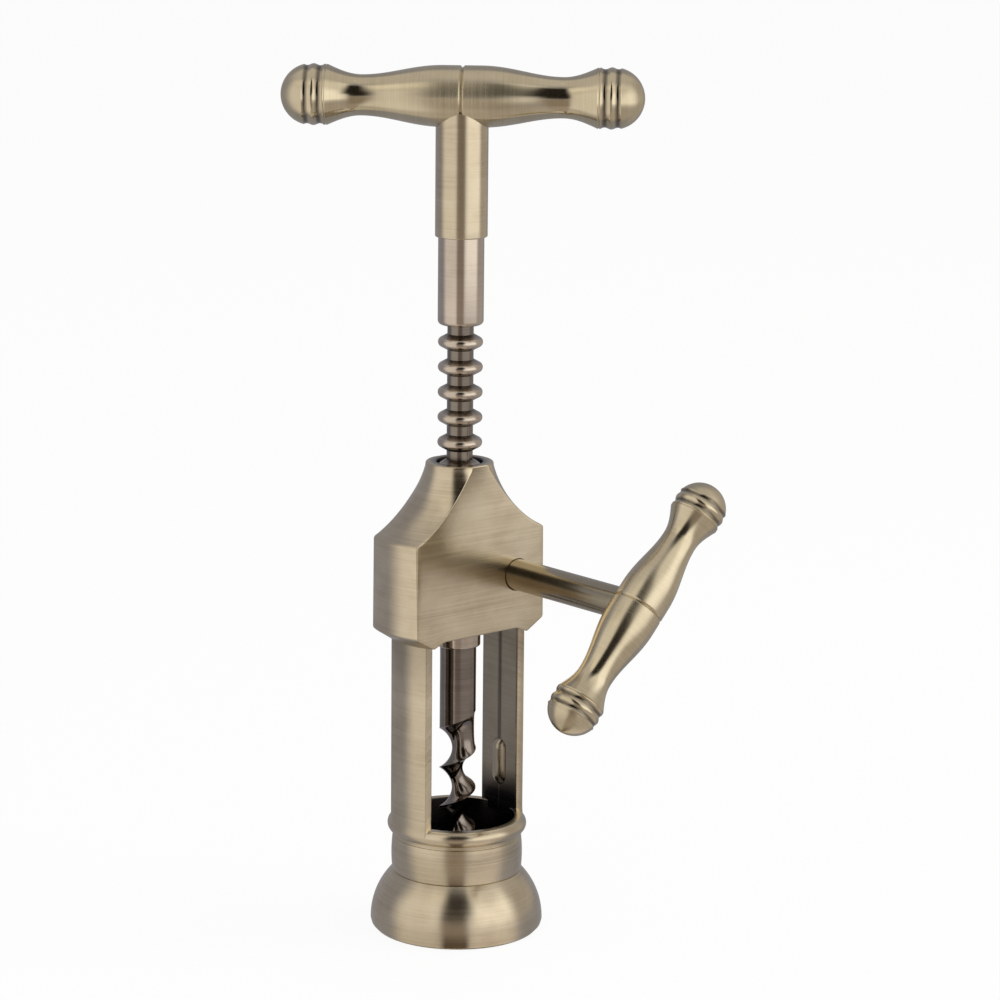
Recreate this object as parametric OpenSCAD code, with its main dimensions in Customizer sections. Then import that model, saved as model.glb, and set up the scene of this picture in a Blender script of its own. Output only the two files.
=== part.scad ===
// Rack and pinion corkscrew with a cross handle on top and a crank handle at the side.
// Millimetres, +Z up. The origin is the middle of the foot, on the axis of the worm.
// The side shaft leaves towards -Y and the two legs stand at -X and +X.

/* [Cross handle] */
// Length over both balls
handle_length = 79; // [72:0.5:88]
// Largest diameter, at the middle
handle_d = 13.4; // [12.4:0.1:15]
// Diameter of the stem under the handle
stem_d = 11.5; // [11.3:0.1:12.4]
// Length of the stem from its lower edge to the handle's axis
stem_length = 30.5; // [24:0.5:40]
// Turn of the handle about the worm's axis
handle_turn = -43.7; // [-180:0.1:180]
// Diameter of the stud that joins the two handle halves
handle_stud_d = 4; // [3:0.1:5]
// Length of that stud
handle_stud_length = 26; // [18:0.5:36]
// Diameter of the stem's peg inside the handle
handle_peg_d = 7; // [6:0.1:8]

/* [Side handle] */
// Length over both balls
side_handle_length = 64; // [56:0.5:72]
// Largest diameter, at the middle
side_handle_d = 11.6; // [10.6:0.1:12.6]
// Angle of the bar above level, at rest
side_handle_angle = 47.6; // [0:0.1:180]
// Distance of the bar's axis in front of the worm's axis
side_handle_reach = 47.1; // [40:0.5:60]
// Diameter of the stud that joins the two side handle halves
side_stud_d = 3; // [2.4:0.1:3.6]
// Length of that stud
side_stud_length = 20; // [14:0.5:30]
// Diameter of the shaft's peg inside the side handle
side_peg_d = 5.2; // [4.6:0.1:5.8]

/* [Side shaft and pinion] */
// Diameter of the side shaft
shaft_d = 7; // [6.4:0.1:7.6]
// Diameter of the shaft where it carries the pinion
seat_d = 6; // [5.6:0.1:6.3]
// Diameter of the shaft's rear journal
journal_d = 5; // [4.4:0.1:5.4]
// Width of the pinion's teeth
pinion_w = 7; // [5:0.1:7.6]
// Teeth on the pinion
pinion_teeth = 7; // [7:1:8]
// Pressure angle of rack and pinion
pressure_angle = 29; // [27:0.5:30]
// Distance from the worm's axis to the pinion's axis
pinion_offset = 10.65; // [10.6:0.05:10.9]
// Height of the pinion's axis over the head's underside
pinion_rise = 13.5; // [13.2:0.1:15]
// Diameter of the pin through pinion and shaft
pinion_pin_d = 2; // [1.4:0.1:2.2]
// Diameter of the washer and the clip on the rear end
washer_d = 9; // [8:0.1:10]
// Thickness of the washer
washer_t = 0.5; // [0.4:0.05:0.8]
// Thickness of the clip
clip_t = 0.6; // [0.5:0.05:0.9]
// Depth of the clip's groove in the shaft
clip_groove = 0.7; // [0.5:0.05:0.8]

/* [Rack sleeve] */
// Distance from ring to ring
rack_pitch = 5.6; // [5.55:0.05:5.65]
// Rings that stand clear between the two plain parts
ring_count = 11; // [10:1:12]
// Diameter over the rings
ring_d = 9.9; // [9.6:0.05:9.95]
// Diameter of the core between the rings
core_d = 5.8; // [5.5:0.05:5.9]
// Width of a ring at the core
ring_base_w = 3.6; // [3.3:0.05:3.65]
// Diameter of the plain upper part
sleeve_d = 10.1; // [10:0.05:10.3]
// Length of the plain upper part that shows under the stem
sleeve_plain = 19.4; // [14:0.2:24]
// Depth to which the plain part enters the stem
sleeve_entry = 6; // [4:0.5:9]
// Length of the plain end under the rings
collar_length = 7; // [6.5:0.1:8.4]
// Distance that the plain end hangs below the head
collar_reach = 2.5; // [2:0.1:4]
// Depth to which the worm's shank enters the plain end
shank_entry = 5; // [4:0.2:6]

/* [Worm] */
// Diameter of the worm's shank
shank_d = 8.1; // [7.6:0.1:8.3]
// Diameter over the worm's edge
worm_d = 8.3; // [8.1:0.1:8.8]
// Rise of the worm in one turn
worm_pitch = 9.15; // [8.6:0.05:9.8]
// Thickness of metal left behind the worm's groove, from the axis
worm_web = 1.2; // [1:0.05:1.5]
// Height of the worm's tip over the foot
worm_tip_z = 14.2; // [13.8:0.1:16]
// Height over the foot where the worm's groove starts in its shank
worm_top_z = 46.6; // [44:0.2:50]
// Length of the pointed end
worm_point = 7; // [5:0.5:9]
// Diameter of the spindle inside the rack sleeve
spindle_d = 3.4; // [3:0.1:3.6]

/* [Head] */
// Diameter of the turned head
head_d = 39.5; // [38.6:0.1:42]
// Distance between the head's two flats at the side shaft
head_flats = 15.4; // [15:0.1:17]
// Draft of each flat, in degrees
flat_draft = 1.2; // [0:0.1:1.5]
// Depth of the washer's seat in the rear flat
seat_depth = 0.15; // [0.12:0.01:0.3]
// Height of the head's underside over the foot
head_bottom_z = 67.8; // [66:0.2:76]
// Height of the head's straight side
head_side_h = 20.9; // [18:0.1:24]
// Height of the concave shoulder
shoulder_h = 15.8; // [13:0.1:19]
// Depth of the shoulder's curve behind its chord
shoulder_sag = 2.1; // [1.6:0.1:2.6]
// Outer diameter of the head's top face
head_top_d = 14.4; // [14:0.1:17]
// Distance by which the chamfer's lower edge stands out over the legs
head_foot_over = 0; // [0:0.1:1]
// Height of the chamfer under the straight side
head_chamfer_h = 2.75; // [2:0.05:3.4]
// Depth of the hollow in the underside
hollow_h = 1.2; // [0.8:0.05:1.6]
// Distance from the chamfer's lower edge to the hollow's level middle
hollow_rim = 2.3; // [1.6:0.1:3]

/* [Cage] */
// Outer diameter of the legs
leg_d = 31; // [30.4:0.1:31.4]
// Thickness of a leg in its middle
leg_t = 3.15; // [2.8:0.05:3.7]
// Width of a leg
leg_w = 12.2; // [10.5:0.1:13]
// Height of the neck's upper rim over the foot
neck_top_z = 25.9; // [24.5:0.1:28]
// Height by which the bead stands out over the legs
bead_over = 0.15; // [0.1:0.05:0.6]
// Height of the bead
bead_h = 3.4; // [2.8:0.1:4.4]
// Depth of the bead's round face
bead_sag = 0.9; // [0.6:0.05:1.1]
// Distance from the legs' outside to the neck's bore
neck_rim = 2.6; // [2.4:0.05:3.4]
// Wall of the neck's band
band_wall = 1.7; // [1.5:0.05:2.1]
// Wall of the neck's spigot in the bell
spigot_wall = 1.05; // [0.9:0.05:1.1]
// Height of the tongue that each leg has inside the head
tongue_h = 5; // [4.4:0.1:5.2]
// Diameter of the two pins that hold the cage in the head
cage_pin_d = 2.4; // [2:0.1:2.6]
// Length of the raised pad inside each leg
pad_length = 10.9; // [8:0.1:13]
// Width of the raised pad
pad_w = 4.6; // [3.6:0.1:5.6]
// Height of the pad over the leg
pad_t = 1.1; // [0.8:0.05:1.3]
// Height of the pad's middle over the foot
pad_z = 36; // [34:0.2:46]

/* [Base] */
// Largest diameter of the bell
bell_d = 38.8; // [38.4:0.1:41]
// Diameter of the foot that it stands on
foot_d = 36.6; // [35.4:0.1:38]
// Height of the bell
bell_h = 13.4; // [12.8:0.1:14.8]
// Height of the widest place over the foot
bell_widest_z = 1.8; // [1.4:0.1:2.8]
// Depth of the bell's curve in front of its chord
bell_sag = 1.3; // [1:0.1:1.8]
// Depth of the joint between neck and bell
joint_h = 2.6; // [2:0.1:3]
// Bore that takes the bottle's mouth
socket_d = 30; // [29:0.1:30.4]
// Wall of the bottle guide around that bore
guide_wall = 0.95; // [0.7:0.05:1.2]
// Depth of that bore from the foot
socket_depth = 9.4; // [8.4:0.1:10]
// Distance by which the bell's rim may stay inside the guide's outside
rim_inset = 1.6; // [1.2:0.1:1.6]

/* [Fits] */
// Radial clearance of a running fit
run_fit = 0.07; // [0.05:0.01:0.09]
// Radial clearance of a pressed or screwed joint
press_fit = 0.02; // [0.01:0.01:0.04]
// Clearance of the rack sleeve in the head
slide_fit = 0.1; // [0.08:0.01:0.12]
// Clearance around the pinion in its pocket
pocket_fit = 0.2; // [0.15:0.01:0.3]
// Backlash of rack and pinion
backlash = 0.2; // [0.15:0.01:0.3]
// Clearance between tooth tips and roots
tip_fit = 0.2; // [0.15:0.01:0.3]
// Radius of broken edges
edge = 0.5; // [0.3:0.05:0.7]

/* [Hidden] */
$fn = 96;

// Overrun of every cut past the face that it breaks
cut = 1;
// A tight clearance between faces that turn against each other
face_gap = 0.05;

// Heights of the head
head_shoulder_z = head_bottom_z + head_chamfer_h + head_side_h;
head_top_z = head_shoulder_z + shoulder_h;
pinion_z = head_bottom_z + pinion_rise;
seat_y = head_flats / 2 - seat_depth;

// Rack and pinion
pitch_r = pinion_teeth * rack_pitch / (2 * PI);
rack_r = pinion_offset - pitch_r;
flank = tan(pressure_angle);
ring_pitch_w = ring_base_w - 2 * flank * (rack_r - core_d / 2);
pinion_tip_r = pinion_offset - core_d / 2 - tip_fit;
pinion_root_r = pinion_offset - ring_d / 2 - tip_fit;
pinion_base_r = pitch_r * cos(pressure_angle);
pinion_tooth_w = rack_pitch - ring_pitch_w - backlash;
pocket_r = pinion_tip_r + pocket_fit;
pocket_w = pinion_w + 2 * pocket_fit;

// Heights of the rack sleeve, at rest
sleeve_bottom_z = head_bottom_z - collar_reach;
rack_start_z = sleeve_bottom_z + collar_length;
rack_end_z = rack_start_z + (ring_count + 1) * rack_pitch;
ring_crest_w = ring_base_w - flank * (ring_d - core_d);
plain_z = rack_end_z - ring_base_w / 2 + face_gap;
stem_z = plain_z + sleeve_plain;
sleeve_top_z = stem_z + sleeve_entry;
handle_z = stem_z + stem_length;
spindle_top_z = handle_z - handle_d / 2 - 2 * edge;
// Gap of the rack that a pinion tooth fills at rest
mesh_index = floor((pinion_z - rack_start_z) / rack_pitch);
mesh_z = rack_start_z + (mesh_index + 0.5) * rack_pitch;
pinion_phase = (pinion_z - mesh_z) / pitch_r * 180 / PI;
bore_r = sleeve_d / 2 + slide_fit;

// Where the handle's outline turns, as shares of its half length and of its largest radius
barrel_end_share = 0.1;
waist_share = 0.555;
flange_share = 0.735;
notch_share = 0.768;
groove_share = 0.845;
ball_edge_share = 0.862;
waist_r_share = 0.665;
flange_r_share = 0.985;
notch_r_share = 0.96;
collar_r_share = 1.005;
bead_r_share = 1.035;
groove_r_share = 0.945;
ball_r_share = 1;
seam_share = 0.0125;
seam_r_share = 0.93;
taper_skew_share = 1.05;

// Parts of the worm's outline
worm_start_turn = 140.1;
worm_edge_z = 36.8;
worm_sides = 20;
worm_step = 18;
// Share of a turn over which the groove grows to its full depth
worm_start_share = 0.4;
// Round end that the worm keeps inside its shank
worm_core_r = shank_d / 2 - edge / 3;
worm_end_z = worm_top_z + worm_pitch / 2 + edge;
point_share = 0.12;

// Widths and places of the cage
leg_gap = leg_d - 2 * leg_t;
bead_d = leg_d + 2 * bead_over;
neck_bore_d = leg_d - 2 * neck_rim;
band_d = neck_bore_d + 2 * band_wall;
spigot_d = neck_bore_d + 2 * spigot_wall;
guide_d = socket_d + 2 * guide_wall;
head_foot_d = leg_d + 2 * head_foot_over;
hollow_d = head_foot_d - 2 * hollow_rim;
tongue_w = pocket_w - 2 * press_fit;
tongue_from = bore_r + slide_fit;
tongue_to = pinion_offset + pocket_r - press_fit;
cage_pin_x = (leg_gap + leg_d) / 4;
cage_pin_z = head_bottom_z + (hollow_h + tongue_h) / 2;
cage_pin_length = head_flats - 2 * edge - cage_pin_d / 4;
seam_ridge = pad_w / 12;

// Rear end of the side shaft
shaft_end_y = seat_y + face_gap + washer_t + 2 * clip_t;

bronze = [0.71, 0.66, 0.55];
bronze_dark = [0.56, 0.51, 0.44];
gunmetal = [0.27, 0.25, 0.25];

// Points of an arc between two ends that bows to the left of the way by sag
function bow(a, b, sag, steps) =
    let (chord = norm(b - a), r = (chord * chord / 4 + sag * sag) / (2 * sag),
        along = (b - a) / chord, left = [-along[1], along[0]],
        centre = (a + b) / 2 + left * (sag - r), half = asin(chord / 2 / r))
    [for (i = [0 : steps]) let (t = -half + 2 * half * i / steps)
        centre + r * (sin(t) * along + cos(t) * left)];

// Outline of half a handle: radius over distance from the seam
function handle_outline(half, r) =
    let (end_r = r * ball_r_share, ball_c = half - end_r,
        ball_from = acos((half * ball_edge_share - ball_c) / end_r))
    concat(
        [[0, 0], [r * seam_r_share, 0], [r, half * seam_share]],
        [for (i = [0 : 12]) let (t = pow(i / 12, taper_skew_share))
            [r * (waist_r_share + (1 - waist_r_share) * (1 + cos(180 * t)) / 2),
                half * (barrel_end_share + (waist_share - barrel_end_share) * i / 12)]],
        [for (i = [1 : 8])
            [r * (waist_r_share + (flange_r_share - waist_r_share) * (1 - cos(90 * i / 8))),
                half * (waist_share + (flange_share - waist_share) * i / 8)]],
        [for (i = [1 : 5])
            [r * (notch_r_share + (collar_r_share - notch_r_share) * sin(180 * i / 5)),
                half * (flange_share + (notch_share - flange_share) * i / 5)]],
        [for (i = [1 : 7])
            [r * ((notch_r_share + (groove_r_share - notch_r_share) * i / 8)
                + (bead_r_share - notch_r_share) * sin(180 * i / 8)),
                half * (notch_share + (groove_share - notch_share) * i / 8)]],
        [[r * groove_r_share, half * groove_share]],
        [for (i = [0 : 10]) let (t = ball_from * (1 - i / 10))
            [end_r * sin(t), ball_c + end_r * cos(t)]]);

// One handle half with its bores for the stud and for the peg of the rod that carries it
module handle_half(length, d, stud_r, stud_l, peg_r, peg_reach) {
    difference() {
        rotate_extrude() polygon(handle_outline(length / 2, d / 2));
        translate([0, 0, -cut])
            cylinder(r = stud_r + press_fit, h = stud_l / 2 + cut + edge);
        rotate([0, 90, 0])
            translate([0, 0, -peg_reach - press_fit])
                cylinder(r = peg_r + press_fit, h = peg_reach + press_fit + d);
    }
}

// Puts what is built along +Z onto the cross handle's axis, towards one side, with its +X down
module on_handle(side) {
    translate([0, 0, handle_z])
        rotate([0, 0, handle_turn])
            mirror([side < 0 ? 1 : 0, 0, 0])
                rotate([0, 90, 0])
                    children();
}

// Puts what is built along +Z onto the side handle's axis, towards one side, with its +X to the head
module on_side_handle(side) {
    translate([pinion_offset, -side_handle_reach, pinion_z])
        rotate([0, -side_handle_angle, 0])
            mirror([side < 0 ? 1 : 0, 0, 0])
                rotate([0, 90, 0])
                    rotate([0, 0, 90])
                        children();
}

// A cylinder along Y with its axis at x, z
module along_y(x, z, r, from, to) {
    translate([x, to, z])
        rotate([90, 0, 0])
            cylinder(r = r, h = to - from);
}

// Turned form of the head, before the flats are cut
module head_form() {
    side_z = head_bottom_z + head_chamfer_h;
    top_r = head_top_d / 2;
    rotate_extrude()
        polygon(concat(
            [[0, head_bottom_z + hollow_h], [hollow_d / 2, head_bottom_z + hollow_h],
                [head_foot_d / 2, head_bottom_z], [head_d / 2, side_z],
                [head_d / 2, head_shoulder_z - edge / 2]],
            bow([head_d / 2 - edge / 2, head_shoulder_z], [top_r + edge / 2, head_top_z - edge],
                shoulder_sag, 14),
            [[top_r, head_top_z], [0, head_top_z]]));
}

// Space between the two flats, which lean together upwards
module head_slab() {
    lean_y = tan(flat_draft) * (head_top_z - head_bottom_z);
    wide = head_flats / 2 + tan(flat_draft) * pinion_rise;
    translate([-head_d, 0, 0])
        rotate([90, 0, 90])
            linear_extrude(height = 2 * head_d)
                polygon([[-wide, head_bottom_z], [wide, head_bottom_z],
                    [wide - lean_y, head_top_z], [lean_y - wide, head_top_z]]);
}

module head_housing() {
    color(bronze)
        difference() {
            intersection() {
                head_form();
                head_slab();
            }
            translate([0, 0, head_bottom_z - cut])
                cylinder(r = bore_r, h = head_top_z - head_bottom_z + 2 * cut);
            translate([0, 0, head_top_z - edge])
                cylinder(r1 = bore_r, r2 = bore_r + edge + cut, h = edge + cut);
            // Slot that lets the pinion in from below and takes the legs' tongues
            translate([-tongue_to - press_fit, -pocket_w / 2, head_bottom_z - cut])
                cube([2 * (tongue_to + press_fit), pocket_w, tongue_h + press_fit + cut]);
            translate([pinion_offset - pocket_r, -pocket_w / 2, head_bottom_z])
                cube([2 * pocket_r, pocket_w, pinion_rise]);
            along_y(pinion_offset, pinion_z, pocket_r, -pocket_w / 2, pocket_w / 2);
            // Bearings of the side shaft
            along_y(pinion_offset, pinion_z, shaft_d / 2 + run_fit, -head_flats, 0);
            along_y(pinion_offset, pinion_z, journal_d / 2 + run_fit, 0, head_flats);
            along_y(pinion_offset, pinion_z, washer_d / 2 + edge, seat_y, head_flats);
            for (side = [-1, 1])
                along_y(side * cage_pin_x, cage_pin_z, cage_pin_d / 2 + press_fit,
                    head_flats / 2 - cage_pin_length - press_fit, head_flats / 2 + cut);
        }
}

// Ring of the neck that the legs stand on, with the spigot below it
module neck_ring() {
    bead_r = bead_d / 2;
    band_r = band_d / 2;
    bead_z = neck_top_z - bead_h;
    rotate_extrude()
        polygon(concat(
            [[neck_bore_d / 2, bell_h - joint_h], [spigot_d / 2, bell_h - joint_h],
                [spigot_d / 2, bell_h], [band_r, bell_h],
                [band_r + edge / 3, bell_h + edge], [band_r + edge / 3, bell_h + 2 * edge],
                [band_r, bell_h + 3 * edge], [band_r, bead_z - edge],
                [band_r - edge / 2, bead_z - edge], [band_r - edge / 2, bead_z]],
            bow([bead_r - bead_sag, bead_z], [bead_r - bead_sag, neck_top_z - edge / 2],
                -bead_sag, 12),
            [[bead_r - bead_sag - edge / 2, neck_top_z], [neck_bore_d / 2, neck_top_z]]));
}

// One leg, standing at +X
module leg() {
    leg_z = neck_top_z - bead_h / 2;
    difference() {
        intersection() {
            translate([0, 0, leg_z])
                cylinder(d = leg_d, h = head_bottom_z + hollow_h - leg_z);
            translate([leg_gap / 2, -leg_w / 2, leg_z])
                cube([leg_d, leg_w, head_bottom_z]);
        }
        head_form();
        translate([0, 0, leg_z - cut])
            cylinder(d = neck_bore_d, h = neck_top_z - leg_z + cut);
    }
    // Pad and mould seam on the inner face
    hull()
        for (end = [-1, 1])
            translate([leg_gap / 2 - pad_t, 0, pad_z + end * (pad_length - pad_w) / 2])
                rotate([0, 90, 0])
                    cylinder(d1 = pad_w - pad_t, d2 = pad_w, h = pad_t + edge, $fn = 32);
    translate([leg_gap / 2 - seam_ridge / 2, -seam_ridge / 2, neck_top_z])
        cube([seam_ridge, seam_ridge, head_bottom_z - neck_top_z]);
}

module cage_frame() {
    color(bronze_dark)
        difference() {
            union() {
                neck_ring();
                for (side = [0, 1])
                    mirror([side, 0, 0]) leg();
                intersection() {
                    head_form();
                    for (side = [0, 1])
                        mirror([side, 0, 0])
                            translate([tongue_from, -tongue_w / 2, head_bottom_z])
                                cube([tongue_to - tongue_from, tongue_w, tongue_h]);
                }
                // Roots of the legs, run up into the tongues
                for (side = [-1, 1])
                    translate([side * cage_pin_x, 0, head_bottom_z])
                        cube([leg_t - 2 * edge, tongue_w, hollow_h + tongue_h / 2],
                            center = true);
            }
            for (side = [-1, 1])
                along_y(side * cage_pin_x, cage_pin_z, cage_pin_d / 2 + press_fit,
                    -head_flats, head_flats);
        }
}

module cage_pins() {
    color(gunmetal)
        for (side = [-1, 1])
            along_y(side * cage_pin_x, cage_pin_z, cage_pin_d / 2,
                head_flats / 2 - cage_pin_length, head_flats / 2);
}

module bell_base() {
    bell_r = bell_d / 2;
    rim_r = max(spigot_d / 2 + edge, guide_d / 2 - rim_inset);
    color(bronze)
        rotate_extrude()
            polygon(concat(
                [[guide_d / 2 + press_fit, 0], [foot_d / 2, 0],
                    [bell_r - edge / 2, bell_widest_z / 2]],
                bow([bell_r, bell_widest_z], [rim_r, bell_h], -bell_sag, 14),
                [[spigot_d / 2 + press_fit, bell_h],
                    [spigot_d / 2 + press_fit, bell_h - joint_h],
                    [guide_d / 2 + press_fit, bell_h - joint_h]]));
}

module bottle_guide() {
    guide_top_z = bell_h - joint_h - press_fit;
    color([0.08, 0.08, 0.08])
        rotate_extrude()
            polygon([[socket_d / 2, 0], [guide_d / 2, 0], [guide_d / 2, guide_top_z],
                [neck_bore_d / 2, guide_top_z], [neck_bore_d / 2, socket_depth],
                [socket_d / 2, socket_depth]]);
}

// Outline of one ring of the rack, upwards from its lower foot
function ring_outline(z) =
    let (tip = ring_d / 2, crest = ring_crest_w / 2, soft = edge / 2)
    [[core_d / 2, z - ring_base_w / 2], [tip - edge, z - crest - edge * flank],
        [tip - soft / 2, z - crest + soft / 3], [tip, z - crest / 3],
        [tip, z + crest / 3], [tip - soft / 2, z + crest - soft / 3],
        [tip - edge, z + crest + edge * flank], [core_d / 2, z + ring_base_w / 2]];

module rack_sleeve() {
    hole_r = spindle_d / 2 + run_fit;
    mouth_r = shank_d / 2 + run_fit;
    tip = ring_d / 2;
    color(bronze)
        rotate_extrude()
            polygon(concat(
                [[mouth_r, sleeve_bottom_z], [tip - edge, sleeve_bottom_z],
                    [tip - edge / 3, sleeve_bottom_z + edge / 3], [tip, sleeve_bottom_z + edge],
                    [tip, rack_start_z + ring_crest_w / 4],
                    [tip - edge, rack_start_z + ring_crest_w / 2 + edge * flank],
                    [core_d / 2, rack_start_z + ring_base_w / 2]],
                [for (i = [1 : ring_count]) each ring_outline(rack_start_z + i * rack_pitch)],
                [[core_d / 2, plain_z], [sleeve_d / 2 - 2 * edge, plain_z],
                    [sleeve_d / 2 - edge / 2, plain_z + edge / 2],
                    [sleeve_d / 2, plain_z + 1.5 * edge], [sleeve_d / 2, sleeve_top_z - edge / 2],
                    [sleeve_d / 2 - edge / 2, sleeve_top_z], [hole_r, sleeve_top_z],
                    [hole_r, sleeve_bottom_z + shank_entry],
                    [mouth_r, sleeve_bottom_z + shank_entry]]));
}

module handle_stem() {
    stem_r = stem_d / 2;
    color(bronze)
        difference() {
            union() {
                difference() {
                    rotate_extrude()
                        polygon([[0, stem_z], [stem_r - edge, stem_z],
                            [stem_r - edge / 3, stem_z + edge / 3], [stem_r, stem_z + edge],
                            [stem_r, handle_z], [0, handle_z]]);
                    on_handle(1)
                        translate([0, 0, -stem_d])
                            cylinder(r = handle_d / 2, h = 2 * stem_d);
                }
                translate([0, 0, handle_z - handle_d / 2 - edge])
                    cylinder(d = handle_peg_d, h = handle_d / 2 + edge + handle_stud_d);
            }
            translate([0, 0, stem_z - cut])
                cylinder(r = sleeve_d / 2 + run_fit, h = sleeve_entry + face_gap + cut);
            translate([0, 0, stem_z])
                cylinder(r = spindle_d / 2 + press_fit, h = spindle_top_z - stem_z + edge);
            on_handle(1)
                translate([0, 0, -stem_d])
                    cylinder(r = handle_stud_d / 2 + press_fit, h = 2 * stem_d);
        }
}

module handle_part(side) {
    color(bronze)
        on_handle(side)
            handle_half(handle_length, handle_d, handle_stud_d / 2, handle_stud_length,
                handle_peg_d / 2, handle_stud_d);
}

module handle_left_half() {
    handle_part(-1);
}

module handle_right_half() {
    handle_part(1);
}

module handle_stud() {
    color(gunmetal)
        on_handle(1)
            translate([0, 0, -handle_stud_length / 2])
                cylinder(d = handle_stud_d, h = handle_stud_length);
}

// Distance of the worm's surface from its axis, at an angle away from its sharp edge
function worm_reach(away) =
    let (rise = worm_d / 2 - worm_web, half = worm_pitch / 2,
        r = (half * half + rise * rise) / (2 * rise), along = half * (180 - away) / 180)
    worm_web + r - sqrt(r * r - along * along);

// Share of the full size near the point
function worm_scale(z) = min(1, point_share + (1 - point_share) * (z - worm_tip_z) / worm_point);

// Share of its full depth that the groove has where its middle is at a height
function groove_share(z) = max(0, min(1, (worm_top_z - z) / (worm_pitch * worm_start_share)));

// One point of the worm's skin
function worm_skin(z, angle) =
    let (turn = worm_start_turn + 360 * (z - worm_edge_z) / worm_pitch,
        past = (angle - turn) - 360 * floor((angle - turn) / 360),
        depth = groove_share(z - (180 - past) / 360 * worm_pitch),
        plain_r = shank_d / 2,
        r = plain_r + depth * (worm_reach(min(past, 360 - past)) - plain_r),
        inside = z > worm_end_z - edge ? worm_core_r / plain_r : 1)
    worm_scale(z) * inside * r * [cos(angle), sin(angle), 0] + [0, 0, z];

// The cut part of the worm, with one ring of points for each step of turn
module worm() {
    rings = ceil((worm_end_z - worm_tip_z) / worm_pitch * 360 / worm_step);
    last = rings * worm_sides;
    points = concat(
        [for (i = [0 : rings], j = [0 : worm_sides - 1])
            let (z = worm_tip_z + (worm_end_z - worm_tip_z) * i / rings,
                turn = worm_start_turn + 360 * (z - worm_edge_z) / worm_pitch)
            worm_skin(z, turn + 360 * j / worm_sides)],
        [[0, 0, worm_tip_z], [0, 0, worm_end_z]]);
    low = len(points) - 2;
    faces = concat(
        [for (i = [0 : rings - 1], j = [0 : worm_sides - 1], half = [0, 1])
            let (k = (j + 1) % worm_sides, a = i * worm_sides + j, b = i * worm_sides + k)
            half == 0 ? [a, a + worm_sides, b] : [b, a + worm_sides, b + worm_sides]],
        [for (j = [0 : worm_sides - 1]) [low, j, (j + 1) % worm_sides]],
        [for (j = [0 : worm_sides - 1]) [low + 1, last + (j + 1) % worm_sides, last + j]]);
    polyhedron(points, faces);
}

module worm_spindle() {
    shank_top_z = sleeve_bottom_z + shank_entry - face_gap;
    color(gunmetal)
        union() {
            worm();
            translate([0, 0, worm_end_z - edge])
                cylinder(d = shank_d, h = shank_top_z - worm_end_z + edge);
            translate([0, 0, shank_top_z - edge])
                cylinder(d = spindle_d, h = spindle_top_z - shank_top_z + edge);
        }
}

module side_shaft() {
    seat_from = -pinion_w / 2;
    seat_to = pocket_w / 2 - face_gap;
    groove_y = seat_y + face_gap + washer_t;
    color(bronze_dark)
        difference() {
            union() {
                difference() {
                    along_y(pinion_offset, pinion_z, shaft_d / 2, -side_handle_reach, seat_from);
                    on_side_handle(1)
                        translate([0, 0, -shaft_d])
                            cylinder(d = side_handle_d, h = 2 * shaft_d);
                }
                along_y(pinion_offset, pinion_z, side_peg_d / 2,
                    -side_handle_reach - side_stud_d, -side_handle_reach + side_handle_d);
                along_y(pinion_offset, pinion_z, seat_d / 2, seat_from - edge, seat_to);
                along_y(pinion_offset, pinion_z, journal_d / 2, seat_to - edge, shaft_end_y);
            }
            on_side_handle(1)
                translate([0, 0, -shaft_d])
                    cylinder(r = side_stud_d / 2 + press_fit, h = 2 * shaft_d);
            pinion_pin_hole();
            difference() {
                along_y(pinion_offset, pinion_z, journal_d, groove_y, groove_y + clip_t);
                along_y(pinion_offset, pinion_z, journal_d / 2 - clip_groove,
                    groove_y - cut, groove_y + clip_t + cut);
            }
        }
}

// Involute of the pinion's flank: angle by which it leans in at radius r
function lean(r) =
    let (c = min(1, pinion_base_r / r)) tan(acos(c)) * 180 / PI - acos(c);
function tooth_half(r) =
    pinion_tooth_w / 2 / pitch_r * 180 / PI + lean(pitch_r) - lean(r);

// Outline of the pinion, one tooth after another
function pinion_outline() =
    [for (i = [0 : pinion_teeth - 1], s = [-1, 1], k = [0 : 5])
        let (step = s < 0 ? k : 5 - k,
            r = step == 0 ? pinion_root_r
                : max(pinion_root_r, pinion_base_r) + (pinion_tip_r
                    - max(pinion_root_r, pinion_base_r)) * (step - 1) / 4,
            a = 180 + 360 * i / pinion_teeth + s * tooth_half(r))
        r * [cos(a), sin(a)]];

module pinion_pin_hole() {
    on_pinion()
        rotate([0, -90, 0])
            translate([0, 0, -pinion_root_r - cut])
                cylinder(r = pinion_pin_d / 2 + press_fit,
                    h = 2 * pinion_root_r + cut - edge);
}

// Puts what is built about the origin into the pinion's place, turned to mesh
module on_pinion() {
    translate([pinion_offset, 0, pinion_z])
        rotate([0, -pinion_phase, 0])
            children();
}

module drive_pinion() {
    color(bronze_dark)
        difference() {
            on_pinion()
                translate([0, pinion_w / 2, 0])
                    rotate([90, 0, 0])
                        linear_extrude(height = pinion_w)
                            polygon(pinion_outline());
            along_y(pinion_offset, pinion_z, seat_d / 2 + press_fit, -pinion_w, pinion_w);
            pinion_pin_hole();
        }
}

module pinion_pin() {
    color(gunmetal)
        on_pinion()
            rotate([0, -90, 0])
                translate([0, 0, -pinion_root_r + edge])
                    cylinder(d = pinion_pin_d, h = 2 * pinion_root_r - 2 * edge);
}

module side_handle_part(side) {
    color(bronze)
        on_side_handle(side)
            handle_half(side_handle_length, side_handle_d, side_stud_d / 2,
                side_stud_length, side_peg_d / 2, side_stud_d);
}

module side_handle_upper_half() {
    side_handle_part(1);
}

module side_handle_lower_half() {
    side_handle_part(-1);
}

module side_handle_stud() {
    color(gunmetal)
        on_side_handle(1)
            translate([0, 0, -side_stud_length / 2])
                cylinder(d = side_stud_d, h = side_stud_length);
}

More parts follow.
